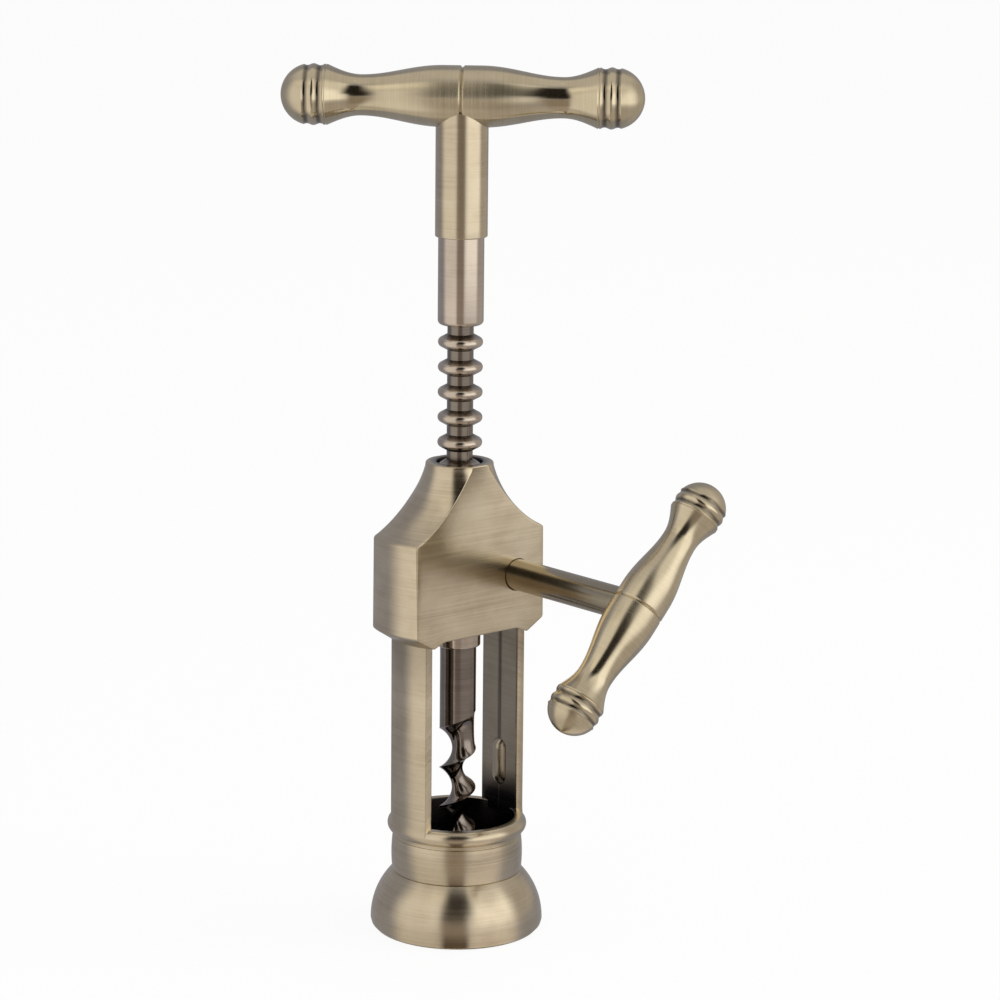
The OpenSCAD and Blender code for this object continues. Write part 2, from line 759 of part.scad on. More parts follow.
module shaft_washer() {
    from = seat_y + face_gap;
    color(gunmetal)
        difference() {
            along_y(pinion_offset, pinion_z, washer_d / 2, from, from + washer_t);
            along_y(pinion_offset, pinion_z, journal_d / 2 + press_fit, from - cut,
                from + washer_t + cut);
        }
}

module retaining_clip() {
    from = seat_y + face_gap + washer_t;
    slot_w = journal_d - 2 * clip_groove;
    color(gunmetal)
        difference() {
            along_y(pinion_offset, pinion_z, washer_d / 2, from, from + clip_t);
            along_y(pinion_offset, pinion_z, slot_w / 2 + press_fit, from - cut,
                from + clip_t + cut);
            translate([pinion_offset - slot_w / 2 - press_fit, from - cut, pinion_z - washer_d])
                cube([slot_w + 2 * press_fit, clip_t + 2 * cut, washer_d]);
        }
}

head_housing();
cage_frame();
cage_pins();
bell_base();
bottle_guide();
rack_sleeve();
handle_stem();
handle_left_half();
handle_right_half();
handle_stud();
worm_spindle();
side_shaft();
drive_pinion();
pinion_pin();
side_handle_upper_half();
side_handle_lower_half();
side_handle_stud();
shaft_washer();
retaining_clip();
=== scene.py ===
"""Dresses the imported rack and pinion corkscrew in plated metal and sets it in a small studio.

The classes hold their sizes in millimetres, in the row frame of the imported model. Meshes are in metres.
"""

import logging
import math
from dataclasses import dataclass, field
from enum import Enum
from typing import Callable, Iterable, Sequence

import bmesh
import bpy
import numpy as np
from mathutils import Matrix, Vector


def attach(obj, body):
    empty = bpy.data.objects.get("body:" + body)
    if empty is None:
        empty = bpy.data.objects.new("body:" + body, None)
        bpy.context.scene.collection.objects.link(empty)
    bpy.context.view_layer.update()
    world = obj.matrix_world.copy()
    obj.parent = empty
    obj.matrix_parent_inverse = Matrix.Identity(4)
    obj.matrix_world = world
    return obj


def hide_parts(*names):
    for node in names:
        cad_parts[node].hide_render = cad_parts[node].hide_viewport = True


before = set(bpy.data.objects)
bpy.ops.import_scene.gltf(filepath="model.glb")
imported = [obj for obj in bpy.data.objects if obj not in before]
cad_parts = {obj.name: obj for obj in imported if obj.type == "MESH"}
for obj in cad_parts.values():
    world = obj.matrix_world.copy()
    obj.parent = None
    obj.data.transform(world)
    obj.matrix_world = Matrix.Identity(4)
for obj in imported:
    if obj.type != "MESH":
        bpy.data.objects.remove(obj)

Piece = bpy.types.Object
Material = bpy.types.Material
Tree = bpy.types.NodeTree
Socket = bpy.types.NodeSocket
Corner = tuple[float, ...]
Outline = list[Corner]
Share = Callable[[Vector], float]
Number = float | np.ndarray
Settings = dict[str | int, object]

log = logging.getLogger("corkscrew")

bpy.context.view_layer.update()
MM = 0.001
FULL_TURN = 2 * math.pi
HERE = Matrix.Identity(4)
# Axis of the side crank, in millimetres
CRANK_X = 10.65
CRANK_Z = 81.3
# Points that lie closer than this, in metres, are one
MERGE = 2e-7
# Degrees past which an edge stays sharp
SHARP = 38.0
# Marks on the points of a mesh: run of the turning lines, share of dark plating and painted shade, share
# of polish
LAY = "lay"
DARK_PLATE_AND_SHADE = "relief"
POLISH = "polish"
# The map shows only which way is round, so each piece has the same millimetres round it there
UV_NAME = "turned"
UV_GIRTH = FULL_TURN * 10
VALUE_FIELDS = {"FLOAT": "value", "FLOAT_VECTOR": "vector", "FLOAT_COLOR": "color"}


class Body(Enum):
    """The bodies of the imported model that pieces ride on."""

    FRAME = "frame"
    RACK = "rack"
    SCREW = "screw"
    CRANK = "crank"


class Slot(Enum):
    """The record's material slots."""

    BRUSHED_BRONZE = "brushed_bronze"
    SATIN_BRONZE = "satin_bronze"
    PINION_BRASS = "pinion_brass"
    DARK_STEEL = "dark_steel"
    BLACK_NICKEL = "black_nickel"
    BLACK_PLASTIC = "black_plastic"


# Outlines and meshes


def linear(hex_colour: str) -> tuple[float, float, float, float]:
    """Turn an sRGB hex colour to linear light.

    Args:
        hex_colour: Six hex digits after a hash mark.

    Returns:
        Red, green, blue and an alpha of 1.
    """
    parts = [int(hex_colour[i : i + 2], 16) / 255 for i in (1, 3, 5)]
    light = [c / 12.92 if c <= 0.04045 else ((c + 0.055) / 1.055) ** 2.4 for c in parts]
    return (*light, 1.0)


def mix(start: Number, end: Number, share: Number) -> Number:
    """Value at a share of the way from start to end."""
    return start + (end - start) * share


def steps(count: int) -> list[float]:
    """Shares of a way from 0 to 1, in a number of even steps."""
    return [i / count for i in range(count + 1)]


def clamped(value: float) -> float:
    """Value held between 0 and 1."""
    return min(1.0, max(0.0, value))


def rounded(points: Sequence[Corner], closed: bool = False, lines: int = 6) -> Outline:
    """Round the corners of an outline.

    Args:
        points: Corners as two coordinates, with a radius as a third where the corner is rounded.
        closed: Whether the last point joins the first.
        lines: Short lines in each rounded corner.

    Returns:
        The outline's points, two coordinates each.
    """
    result: Outline = []
    count = len(points)
    for i, point in enumerate(points):
        here = np.array(point[:2], float)
        if len(point) < 3 or (not closed and i in (0, count - 1)):
            result.append(tuple(here))
            continue
        to_last, to_next = (np.array(points[k % count][:2], float) - here for k in (i - 1, i + 1))
        last_length, next_length = np.linalg.norm(to_last), np.linalg.norm(to_next)
        to_last, to_next = to_last / last_length, to_next / next_length
        half = math.acos(max(-1.0, min(1.0, float(to_last @ to_next)))) / 2
        reach = min(point[2] / math.tan(half), 0.48 * last_length, 0.48 * next_length)
        middle = (to_last + to_next) / np.linalg.norm(to_last + to_next)
        centre = here + middle * reach / math.cos(half)
        start, end = here + to_last * reach - centre, here + to_next * reach - centre
        span = math.pi - 2 * half
        for share in steps(lines):
            swing = math.sin((1 - share) * span) * start + math.sin(share * span) * end
            result.append(tuple(centre + swing / math.sin(span)))
    return result


def bow(a: Corner, b: Corner, sag: float, lines: int) -> Outline:
    """Points of an arc from a to b.

    Args:
        a: Start.
        b: End.
        sag: Height of the arc to the left of the straight way, negative for the right.
        lines: Short lines in the arc.

    Returns:
        The arc's points with both ends.
    """
    start, end = np.array(a, float), np.array(b, float)
    chord = float(np.linalg.norm(end - start))
    radius = (chord * chord / 4 + sag * sag) / (2 * sag)
    along = (end - start) / chord
    left = np.array([-along[1], along[0]])
    centre = (start + end) / 2 + left * (sag - radius)
    half = math.asin(chord / 2 / radius)
    angles = [half * (2 * share - 1) for share in steps(lines)]
    return [tuple(centre + radius * (math.sin(t) * along + math.cos(t) * left)) for t in angles]


def rod(radius: float, low: float, high: float) -> Outline:
    """Corners of a plain rod about the axis."""
    return [(0, low), (radius, low), (radius, high), (0, high)]


def distances(outline: Outline) -> list[float]:
    """Distance of each point along an outline from its first point."""
    spots = np.array([p[:2] for p in outline], float)
    return [0.0, *np.cumsum(np.linalg.norm(np.diff(spots, axis=0), axis=1)).tolist()]


def put(name: str, data: bpy.types.ID) -> Piece:
    """Add an object to the scene.

    Args:
        name: Name of the object.
        data: Its mesh, camera or light.

    Returns:
        The object, at the origin.
    """
    thing = bpy.data.objects.new(name, data)
    bpy.context.scene.collection.objects.link(thing)
    return thing


def store(mesh: bpy.types.Mesh, name: str, kind: str, values: Sequence[float] | np.ndarray) -> None:
    """Store values on the points of a mesh.

    Args:
        mesh: The mesh.
        name: Name of the mark.
        kind: Kind of the values.
        values: One value or one row for each point.
    """
    data = mesh.attributes.new(name, kind, "POINT").data
    data.foreach_set(VALUE_FIELDS[kind], np.asarray(values, np.float32).ravel())


def finish_mesh(mesh: bpy.types.Mesh) -> None:
    """Merge doubles, point the faces outwards and shade them smooth except over sharp edges.

    Args:
        mesh: The mesh to finish.
    """
    work = bmesh.new()
    work.from_mesh(mesh)
    bmesh.ops.remove_doubles(work, verts=work.verts, dist=MERGE)
    bmesh.ops.dissolve_degenerate(work, edges=work.edges, dist=MERGE)
    bmesh.ops.recalc_face_normals(work, faces=work.faces)
    work.to_mesh(mesh)
    work.free()
    mesh.shade_smooth()
    mesh.set_sharp_from_angle(angle=math.radians(SHARP))


def loft(name: str, rows: np.ndarray, along: Sequence[float], closed: bool = False) -> Piece:
    """Skin rows of points, each of which runs round the piece.

    Args:
        name: Name of the piece.
        rows: Points in millimetres, by row and column.
        along: Distance of each row along the outline, in millimetres.
        closed: Whether the last row joins the first.

    Returns:
        The piece, with a UV map and the lay of its turning marks.
    """
    count, columns, _ = rows.shape
    mesh = bpy.data.meshes.new(name)
    i, j = np.meshgrid(np.arange(count if closed else count - 1), np.arange(columns), indexing="ij")
    i, j = i.ravel(), j.ravel()
    row, row_next, j_next = i * columns, (i + 1) % count * columns, (j + 1) % columns
    corners = np.stack([row + j, row + j_next, row_next + j_next, row_next + j], 1)
    spots = rows.reshape(-1, 3)
    mesh.from_pydata((spots * MM).tolist(), [], corners.tolist())
    lengths = np.array([*along, along[0]], float)
    across = np.stack([j, j + 1, j + 1, j], 1) / columns * UV_GIRTH
    up = np.stack([lengths[i], lengths[i], lengths[i + 1], lengths[i + 1]], 1)
    uv = mesh.uv_layers.new(name=UV_NAME)
    uv.data.foreach_set("uv", np.stack([across, up], 2).astype(np.float32).ravel())
    lay = np.repeat(lengths[:-1], columns)[:, None]
    store(mesh, LAY, "FLOAT_VECTOR", np.concatenate([spots[:, :2], lay], 1))
    return put(name, mesh)


def placed(piece: Piece, where: Matrix = HERE) -> Piece:
    """Move a mesh into its place and finish it.

    Args:
        piece: The piece, whose mesh moves.
        where: Its place in millimetres.

    Returns:
        The piece.
    """
    shift = where.copy()
    shift.translation = where.translation * MM
    piece.data.transform(shift)
    finish_mesh(piece.data)
    return piece


def turned(
    name: str, corners: Outline, where: Matrix = HERE, columns: int = 144, closed: bool = False
) -> Piece:
    """Turn an outline of radius and height about its axis.

    Args:
        name: Name of the piece.
        corners: Radius and height of each corner in millimetres, with a third number where it is rounded.
        where: Place of the axis, which is the local Z.
        columns: Points round the axis.
        closed: Whether the outline's last point joins its first.

    Returns:
        The finished piece.
    """
    outline = rounded(corners, closed)
    angles = np.linspace(0, FULL_TURN, columns, endpoint=False) + math.pi / 2
    radius, height = np.array(outline, float).T[:, :, None]
    rows = np.stack(
        [radius * np.cos(angles), radius * np.sin(angles), np.repeat(height, columns, 1)], 2
    )
    return placed(loft(name, rows, distances(outline), closed), where)


def marked(piece: Piece, mark: str, share: Share, where: Matrix = HERE) -> Piece:
    """Mark each point with a share: of dark plating that no brush reached and of painted shade, or of
    polish.

    Args:
        piece: The placed piece.
        mark: Name of the mark.
        share: Share at a place in millimetres.
        where: Place that the share's millimetres are counted from.

    Returns:
        The piece.
    """
    back = where.inverted()
    values = [clamped(share(back @ (vertex.co / MM))) for vertex in piece.data.vertices]
    store(piece.data, mark, "FLOAT", values)
    return piece


def joined(name: str, pieces: Sequence[Piece]) -> Piece:
    """Make one piece of several that lie in their places.

    Args:
        name: Name of the new piece.
        pieces: The pieces, which are removed.

    Returns:
        The new piece.
    """
    keep = pieces[0]
    with bpy.context.temp_override(
        active_object=keep, object=keep, selected_editable_objects=list(pieces)
    ):
        bpy.ops.object.join()
    keep.name = name
    keep.data.name = name
    return keep


def baked(piece: Piece, helpers: Iterable[Piece] = ()) -> Piece:
    """Turn a piece's modifiers into its plain mesh.

    Args:
        piece: The piece with its modifiers.
        helpers: Objects that only the modifiers needed, which are removed.

    Returns:
        The piece without modifiers.
    """
    graph = bpy.context.evaluated_depsgraph_get()
    graph.update()
    mesh = bpy.data.meshes.new_from_object(piece.evaluated_get(graph), depsgraph=graph)
    piece.modifiers.clear()
    piece.data = mesh
    for helper in helpers:
        bpy.data.objects.remove(helper)
    finish_mesh(mesh)
    return piece


def cut_away(piece: Piece, cutters: Sequence[Piece]) -> Piece:
    """Cut solids out of a piece.

    Args:
        piece: The piece to cut.
        cutters: Closed solids, which are removed.

    Returns:
        The cut piece, as a plain mesh.
    """
    for cutter in cutters:
        step = piece.modifiers.new("cut", "BOOLEAN")
        step.operation = "DIFFERENCE"
        step.solver = "EXACT"
        step.object = cutter
    return baked(piece, cutters)


def along_y(x: float, z: float) -> Matrix:
    """Place whose local Z runs along +Y through x and z, in millimetres."""
    return Matrix.Translation((x, 0, z)) @ Matrix.Rotation(-math.pi / 2, 4, "X")


# Node trees


def add(tree: Tree, kind: str, settings: Settings | None = None, out: str | int = 0) -> Socket | None:
    """Add a node to a tree.

    Args:
        tree: The tree.
        kind: The node's type.
        settings: Values and linked outputs by property or input, and a ramp's places and colours as stops.
        out: Which output is wanted.

    Returns:
        The output, or nothing from a node that has none.
    """
    node = tree.nodes.new(kind)
    for key, value in (settings or {}).items():
        if key == "stops":
            while len(node.color_ramp.elements) < len(value):
                node.color_ramp.elements.new(0.5)
            for element, (spot, colour) in zip(node.color_ramp.elements, value):
                element.position = spot
                element.color = linear(colour)
        elif isinstance(value, Socket):
            tree.links.new(value, node.inputs[key])
        elif isinstance(key, str) and hasattr(node, key):
            setattr(node, key, value)
        else:
            node.inputs[key].default_value = value
    return node.outputs[out] if node.outputs else None


def fresh_tree(owner: Material | bpy.types.World) -> Tree:
    """Empty the node tree of a new material or world.

    Args:
        owner: The material or world.

    Returns:
        Its tree.
    """
    owner.use_nodes = True
    owner.node_tree.nodes.clear()
    return owner.node_tree


def fresh_group(name: str, takes: str, sizes: dict[str, float], gives: str) -> Tree:
    """Start a Geometry Nodes tree.

    Args:
        name: Name of the tree.
        takes: Name of the geometry that goes in.
        sizes: Its sizes by name, whole numbers among them.
        gives: Name of the geometry that comes out.

    Returns:
        The tree with its inputs and its output.
    """
    tree = bpy.data.node_groups.new(name, "GeometryNodeTree")
    tree.interface.new_socket(takes, in_out="INPUT", socket_type="NodeSocketGeometry")
    for label, value in sizes.items():
        kind = "NodeSocketInt" if isinstance(value, int) else "NodeSocketFloat"
        tree.interface.new_socket(label, in_out="INPUT", socket_type=kind)
    tree.interface.new_socket(gives, in_out="OUTPUT", socket_type="NodeSocketGeometry")
    return tree


def run_group(piece: Piece, tree: Tree, shape: Socket, finish: Material, sizes: dict[str, float]) -> None:
    """End a Geometry Nodes tree, run it on a piece and keep the result as its plain mesh.

    Args:
        piece: The piece whose mesh goes in.
        tree: The tree.
        shape: The geometry that comes out of it.
        finish: Material of the result.
        sizes: Values of the tree's inputs by name.
    """
    real = add(tree, "GeometryNodeRealizeInstances", {"Geometry": shape})
    dressed = add(tree, "GeometryNodeSetMaterial", {"Material": finish, "Geometry": real})
    add(tree, "NodeGroupOutput", {0: dressed})
    step = piece.modifiers.new(tree.name, "NODES")
    step.node_group = tree
    for item in tree.interface.items_tree:
        if item.in_out == "INPUT" and item.name in sizes:
            step[item.identifier] = sizes[item.name]
    baked(piece)


# Finishes


@dataclass(frozen=True)
class Finish:
    """A finish of the record's slots: two tones, and a roughness that wanders about its middle."""

    name: str
    slot: Slot
    colour: str
    dark: str
    roughness: float
    spread: float

    def material(self) -> Material:
        """Build the material.

        Returns:
            The material, whose surface comes from the kind of finish.
        """
        material = bpy.data.materials.new(self.name)
        tree = fresh_tree(material)
        add(tree, "ShaderNodeOutputMaterial", {"Surface": self.surface(tree)})
        return material

    def surface(self, tree: Tree) -> Socket:
        """Surface of the material, which each kind of finish builds in its own way."""
        raise NotImplementedError

    def rough_range(self) -> Settings:
        """Range of the roughness over a noise, which keeps to 0.3 to 0.7 in most places."""
        low, high = self.roughness - self.spread, self.roughness + self.spread
        return {"From Min": 0.3, "From Max": 0.7, "To Min": low, "To Max": high}


@dataclass(frozen=True)
class PlatedMetal(Finish):
    """Plated die-cast zinc that was brushed or polished on a lathe.

    The marks follow the attribute "lay", which runs in millimetres along each turned outline, so they go
    round a turned piece and level across a flat.
    """

    bright: str
    anisotropy: float
    line_depth_mm: float
    line_mm: float = 0.3
    broad_line_mm: float = 1.5
    # Changes of a line for each millimetre of its length
    line_change: float = 0.045
    broad_line_change: float = 0.02
    fine_share: float = 0.55
    polished: float = 0.09
    polished_depth: float = 0.25
    cloud_mm: float = 9.0
    # Colour of the dark plating, which also serves as painted shade in bores, grooves, corners and under
    # parts
    patina_and_shade: str = "#433E3D"

    def surface(self, tree: Tree) -> Socket:
        """Build the surface.

        Args:
            tree: Tree of the material.

        Returns:
            The shader's output.
        """
        lay = add(tree, "ShaderNodeAttribute", {"attribute_name": LAY}, "Vector")
        relief = add(tree, "ShaderNodeAttribute", {"attribute_name": DARK_PLATE_AND_SHADE}, "Fac")
        polish = add(tree, "ShaderNodeAttribute", {"attribute_name": POLISH}, "Fac")
        # Brushing lines are finer than a pixel, so they are drawn a few times as coarse as real grit
        lines = 0.0
        for width, change, share in (
            (self.line_mm, self.line_change, self.fine_share),
            (self.broad_line_mm, self.broad_line_change, 1 - self.fine_share),
        ):
            drawn_out = {"Scale": (change, change, 1 / width), "Vector": lay}
            spot = add(tree, "ShaderNodeMapping", drawn_out)
            grain = {"Scale": 1.0, "Detail": 3.0, "Roughness": 0.6, "Vector": spot}
            noise = add(tree, "ShaderNodeTexNoise", grain)
            summed = {"operation": "MULTIPLY_ADD", 0: noise, 1: share, 2: lines}
            lines = add(tree, "ShaderNodeMath", summed)
        spot = add(tree, "ShaderNodeTexCoord", out="Object")
        clouds = {"Scale": 1 / (self.cloud_mm * MM), "Detail": 4.0, "Roughness": 0.55, "Vector": spot}
        cloud = add(tree, "ShaderNodeTexNoise", clouds)
        half_lines = add(tree, "ShaderNodeMath", {"operation": "MULTIPLY", 0: lines, 1: 0.5})
        halves = {"operation": "MULTIPLY_ADD", 0: cloud, 1: 0.5, 2: half_lines}
        tone = add(tree, "ShaderNodeMath", halves)
        tones = ((0.34, self.dark), (0.5, self.colour), (0.66, self.bright))
        brushed = add(tree, "ShaderNodeValToRGB", {"stops": tones, "Fac": tone})
        # The dark plating and painted shade mark pulls the brushed colour towards that dark colour
        plating = {"data_type": "RGBA", 0: relief, 6: brushed, 7: linear(self.patina_and_shade)}
        colour = add(tree, "ShaderNodeMix", plating, 2)
        rough = add(tree, "ShaderNodeMapRange", {**self.rough_range(), "Value": lines})
        shine = {"data_type": "FLOAT", 0: polish, 2: rough, 3: self.polished}
        fade = {"operation": "MULTIPLY_ADD", 0: polish, 1: self.polished_depth - 1, 2: 1.0}
        strength = add(tree, "ShaderNodeMath", fade)
        bump = {"Distance": self.line_depth_mm * MM, "Height": lines, "Strength": strength}
        surface = {
            "Metallic": 1.0,
            "Anisotropic": self.anisotropy,
            "Anisotropic Rotation": 0.25,
            "Base Color": colour,
            "Roughness": add(tree, "ShaderNodeMix", shine),
            "Normal": add(tree, "ShaderNodeBump", bump),
            "Tangent": add(tree, "ShaderNodeTangent", {"direction_type": "UV_MAP", "uv_map": UV_NAME}),
        }
        return add(tree, "ShaderNodeBsdfPrincipled", surface)


@dataclass(frozen=True)
class PlainSurface(Finish):
    """A plain part's finish: cut metal or moulded plastic with a fine even grain on Object coordinates."""

    metallic: float
    grain_mm: float
    grain_depth_mm: float

    def surface(self, tree: Tree) -> Socket:
        """Build the surface.

        Args:
            tree: Tree of the material.

        Returns:
            The shader's output.
        """
        spot = add(tree, "ShaderNodeTexCoord", out="Object")
        fine = {"Scale": 1 / (self.grain_mm * MM), "Detail": 3.0, "Roughness": 0.6, "Vector": spot}
        grain = add(tree, "ShaderNodeTexNoise", fine)
        tones = ((0.35, self.dark), (0.6, self.colour))
        bump = {"Strength": 1.0, "Distance": self.grain_depth_mm * MM, "Height": grain}
        surface = {
            "Metallic": self.metallic,
            "Base Color": add(tree, "ShaderNodeValToRGB", {"stops": tones, "Fac": grain}),
            "Roughness": add(tree, "ShaderNodeMapRange", {**self.rough_range(), "Value": grain}),
            "Normal": add(tree, "ShaderNodeBump", bump),
        }
        return add(tree, "ShaderNodeBsdfPrincipled", surface)


# Antique bronze plating on zinc, brushed on a lathe: long soft highlights across fine level lines
BRUSHED_BRONZE = PlatedMetal(
    "bronze_plate_brushed", Slot.BRUSHED_BRONZE, "#D2C5AC", "#BFB198", 0.22, 0.05, "#DED2BA", 0.88, 0.0016
)
# The same plating on the handles: brushed barrels between polished waists and satin balls
SATIN_BRONZE = PlatedMetal(
    "bronze_plate_satin", Slot.SATIN_BRONZE, "#D2C6AB", "#C5B89C", 0.27, 0.03, "#DCD0B6", 0.85, 0.001
)
# Satin nickel over bronze on the sleeve: a little pinker and greyer than the plating around it
SLEEVE_NICKEL = PlatedMetal(
    "nickel_bronze_satin", Slot.SATIN_BRONZE, "#CABEB0", "#BAAEA0", 0.18, 0.03, "#D6CABC", 0.7, 0.0008
)
# Polished black nickel on steel: a dark mirror with hardly a mark
BLACK_NICKEL = PlatedMetal(
    "black_nickel_polished", Slot.BLACK_NICKEL, "#8E857E", "#746B65", 0.11, 0.02, "#A0968F", 0.1, 0.0006
)
# Oil-black steel of pins, studs, washer and clip: dull and slightly mottled
DARK_STEEL = PlainSurface(
    "steel_blackened", Slot.DARK_STEEL, "#6E6A66", "#54504D", 0.34, 0.06, 1.0, 0.4, 0.002
)
# Cut brass of the pinion: yellower than the plating
PINION_BRASS = PlainSurface(
    "brass_cut", Slot.PINION_BRASS, "#D2B478", "#B59758", 0.28, 0.06, 1.0, 0.5, 0.003
)
# Moulded black plastic of the bottle guide: matte with a fine even grain
BLACK_PLASTIC = PlainSurface(
    "plastic_black_moulded", Slot.BLACK_PLASTIC, "#1C1B1A", "#141313", 0.46, 0.05, 0.0, 0.5, 0.01
)


class Wardrobe:
    """Keeps one material for each finish."""

    def __init__(self) -> None:
        """Start without materials."""
        self._made: dict[str, Material] = {}

    def of(self, finish: Finish) -> Material:
        """The material of a finish, built once.

        Args:
            finish: The finish.

        Returns:
            Its material.
        """
        if finish.name not in self._made:
            self._made[finish.name] = finish.material()
        return self._made[finish.name]

    def dress(self, piece: Piece, finish: Finish, body: Body, *nodes: str) -> None:
        """Give a piece its finish, its body and the nodes that it stands for.

        Args:
            piece: The finished piece.
            finish: Its finish.
            body: The body that it rides on.
            *nodes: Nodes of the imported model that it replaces.
        """
        piece.data.materials.clear()
        piece.data.materials.append(self.of(finish))
        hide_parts(*nodes)
        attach(piece, body.value)
        log.info("%s: %d faces on %s", piece.name, len(piece.data.polygons), body.value)

    def keep(self, finish: Finish, *nodes: str) -> None:
        """Give nodes that stay as they are a better material.

        Args:
            finish: Their finish.
            *nodes: The nodes.
        """
        for node in nodes:
            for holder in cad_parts[node].material_slots:
                holder.material = self.of(finish)
            log.info("%s: kept with %s", node, finish.name)


# Handles


@dataclass
class TurnedHandle:
    """A bar handle of two turned halves that meet at a seam in the middle.

    Places along a half are shares of its length, and radii are shares of the barrel's.
    """

    length: float
    diameter: float
    shine: float = 1.0
    columns: int = 128
    barrel_end: float = 0.1
    waist: float = 0.555
    flange: float = 0.743
    waist_r: float = 0.665
    flange_r: float = 0.985
    ball_edge: float = 0.872
    seam: float = 0.0125
    seam_r: float = 0.93
    seam_round: float = 0.035
    taper_skew: float = 1.05
    inset: float = 0.02
    barrel_lines: int = 40
    curve_lines: int = 24
    ring_lines: int = 14
    ball_lines: int = 32
    ball_polish: float = 0.1
    polish_from: float = 0.12
    polish_run: float = 0.32
    # Dark plating and painted shade at the bottom of each groove
    groove_plate_and_shade: float = 0.75
    # Ridge, groove, bead and groove between flange and ball: where each ends, its radius there, its hump
    rings: tuple[tuple[float, float, float], ...] = (
        (0.749, 0.965, 0.0),
        (0.764, 0.965, 0.022),
        (0.8, 0.97, -0.03),
        (0.836, 0.97, 0.03),
        (0.872, 0.972, -0.03),
    )

    def outline(self) -> Outline:
        """Corners of one half.

        Returns:
            Radius over distance from the seam, in millimetres, from the seam's middle to the ball's end.
        """
        half, r = self.length / 2 - self.inset, self.diameter / 2 - self.inset
        spots: Outline = []
        for t in steps(self.barrel_lines):
            ease = (1 + math.cos(math.pi * t**self.taper_skew)) / 2
            spots.append((mix(self.waist_r, 1, ease), mix(self.barrel_end, self.waist, t)))
        for t in steps(self.curve_lines)[1:]:
            ease = 1 - math.cos(math.pi / 2 * t)
            spots.append((mix(self.waist_r, self.flange_r, ease), mix(self.waist, self.flange, t)))
        last, last_r = self.flange, self.flange_r
        for end, end_r, hump in self.rings:
            for t in steps(self.ring_lines if hump else 2)[1:]:
                spots.append((mix(last_r, end_r, t) + hump * math.sin(math.pi * t), mix(last, end, t)))
            last, last_r = end, end_r
        ball_c = half - r
        start = math.acos((half * self.ball_edge - ball_c) / r)
        swings = [start * (1 - t) for t in steps(self.ball_lines)[1:]]
        return [
            (0, 0),
            (r * self.seam_r, 0),
            (r, half * self.seam, r * self.seam_round),
            *((r * radius, half * share) for radius, share in spots),
            *((r * math.sin(t), ball_c + r * math.cos(t)) for t in swings),
        ]

    def polish(self, spot: Vector) -> float:
        """Share of polish: none on the brushed barrel, all at the waist, some on the ball.

        Args:
            spot: Place on the half.

        Returns:
            The share, which may be below 0.
        """
        share = abs(spot.z) / (self.length / 2)
        if share > self.ball_edge:
            return self.ball_polish
        return min(self.shine, (share - self.polish_from) / self.polish_run)

    def groove(self, spot: Vector) -> float:
        """Share of dark plating and painted shade: most of it at the bottom of a groove.

        Args:
            spot: Place on the half.

        Returns:
            The share.
        """
        share, last = abs(spot.z) / (self.length / 2), self.flange
        for end, _, hump in self.rings:
            if hump < 0 and last < share < end:
                return self.groove_plate_and_shade * math.sin(math.pi * (share - last) / (end - last))
            last = end
        return 0.0

    def half(self, name: str, middle: Matrix, side: int) -> Piece:
        """Make one half.

        Args:
            name: Its name.
            middle: Place of the handle's middle, whose X runs along the handle.
            side: 1 for the half on +X and -1 for the other.

        Returns:
            The marked half.
        """
        where = middle @ Matrix.Rotation(math.pi / 2 * side, 4, "Y")
        piece = turned(name, self.outline(), where, self.columns)
        # Dark plating with painted shade in the grooves, then the polish
        return marked(marked(piece, DARK_PLATE_AND_SHADE, self.groove, where), POLISH, self.polish, where)

    def saddle(self, piece: Piece, middle: Matrix, away: Vector, sunk: float) -> Piece:
        """Hollow the end of a stem so that it sits against the barrel.

        Args:
            piece: The stem, whose end stands a barrel's radius off the handle's axis.
            middle: Place of the handle's middle, whose X runs along the handle.
            away: Direction in which the stem leaves the handle.
            sunk: How deep the end is sunk into the barrel.

        Returns:
            The stem.
        """
        centre, across = middle.translation, away.cross(middle.col[0].xyz)
        barrel = self.diameter / 2
        # The end's own points stand at the barrel's radius, and the next ones 1 mm further out
        reach = barrel + 0.5
        for vertex in piece.data.vertices:
            from_axis = vertex.co / MM - centre
            height, off = away.dot(from_axis), across.dot(from_axis)
            if height < reach:
                vertex.co += away * (math.sqrt((barrel - sunk) ** 2 - off * off) - height) * MM
        finish_mesh(piece.data)
        return piece


@dataclass
class CrossHandle:
    """The handle on top, its stem and the stud inside."""

    axis_z: float = 187.65
    turn: float = -43.7
    shape: TurnedHandle = field(default_factory=lambda: TurnedHandle(79, 13.4))
    stem_d: float = 11.5
    stem_z: float = 157.15
    stem_round: float = 0.45
    bore_r: float = 5.12
    sleeve_entry: float = 6.0

    def middle(self) -> Matrix:
        """Place of the handle's middle, whose X runs along the handle."""
        return Matrix.Translation((0, 0, self.axis_z)) @ Matrix.Rotation(math.radians(self.turn), 4, "Z")

    def stem(self) -> Piece:
        """Make the stem, whose upper end is hollowed to sit against the handle.

        Returns:
            The stem.
        """
        radius, top = self.stem_d / 2, self.axis_z - self.shape.diameter / 2
        corners = [
            (0, self.stem_z + self.sleeve_entry),
            (self.bore_r, self.stem_z + self.sleeve_entry),
            (self.bore_r, self.stem_z),
            (radius, self.stem_z, self.stem_round),
            *((radius, mix(self.stem_z + 2, top - 1, t)) for t in steps(8)),
            (radius, top),
            (0, top),
        ]
        return self.shape.saddle(turned("stem", corners), self.middle(), Vector((0, 0, -1)), 0.12)

    def build(self, wardrobe: Wardrobe) -> None:
        """Make and dress the pieces.

        Args:
            wardrobe: Keeper of the materials.
        """
        for side, name, node in (
            (-1, "cross_handle_left", "handle_left_half"),
            (1, "cross_handle_right", "handle_right_half"),
        ):
            half = self.shape.half(name, self.middle(), side)
            wardrobe.dress(half, SATIN_BRONZE, Body.SCREW, node)
        wardrobe.dress(self.stem(), BRUSHED_BRONZE, Body.SCREW, "handle_stem")
        wardrobe.keep(DARK_STEEL, "handle_stud")


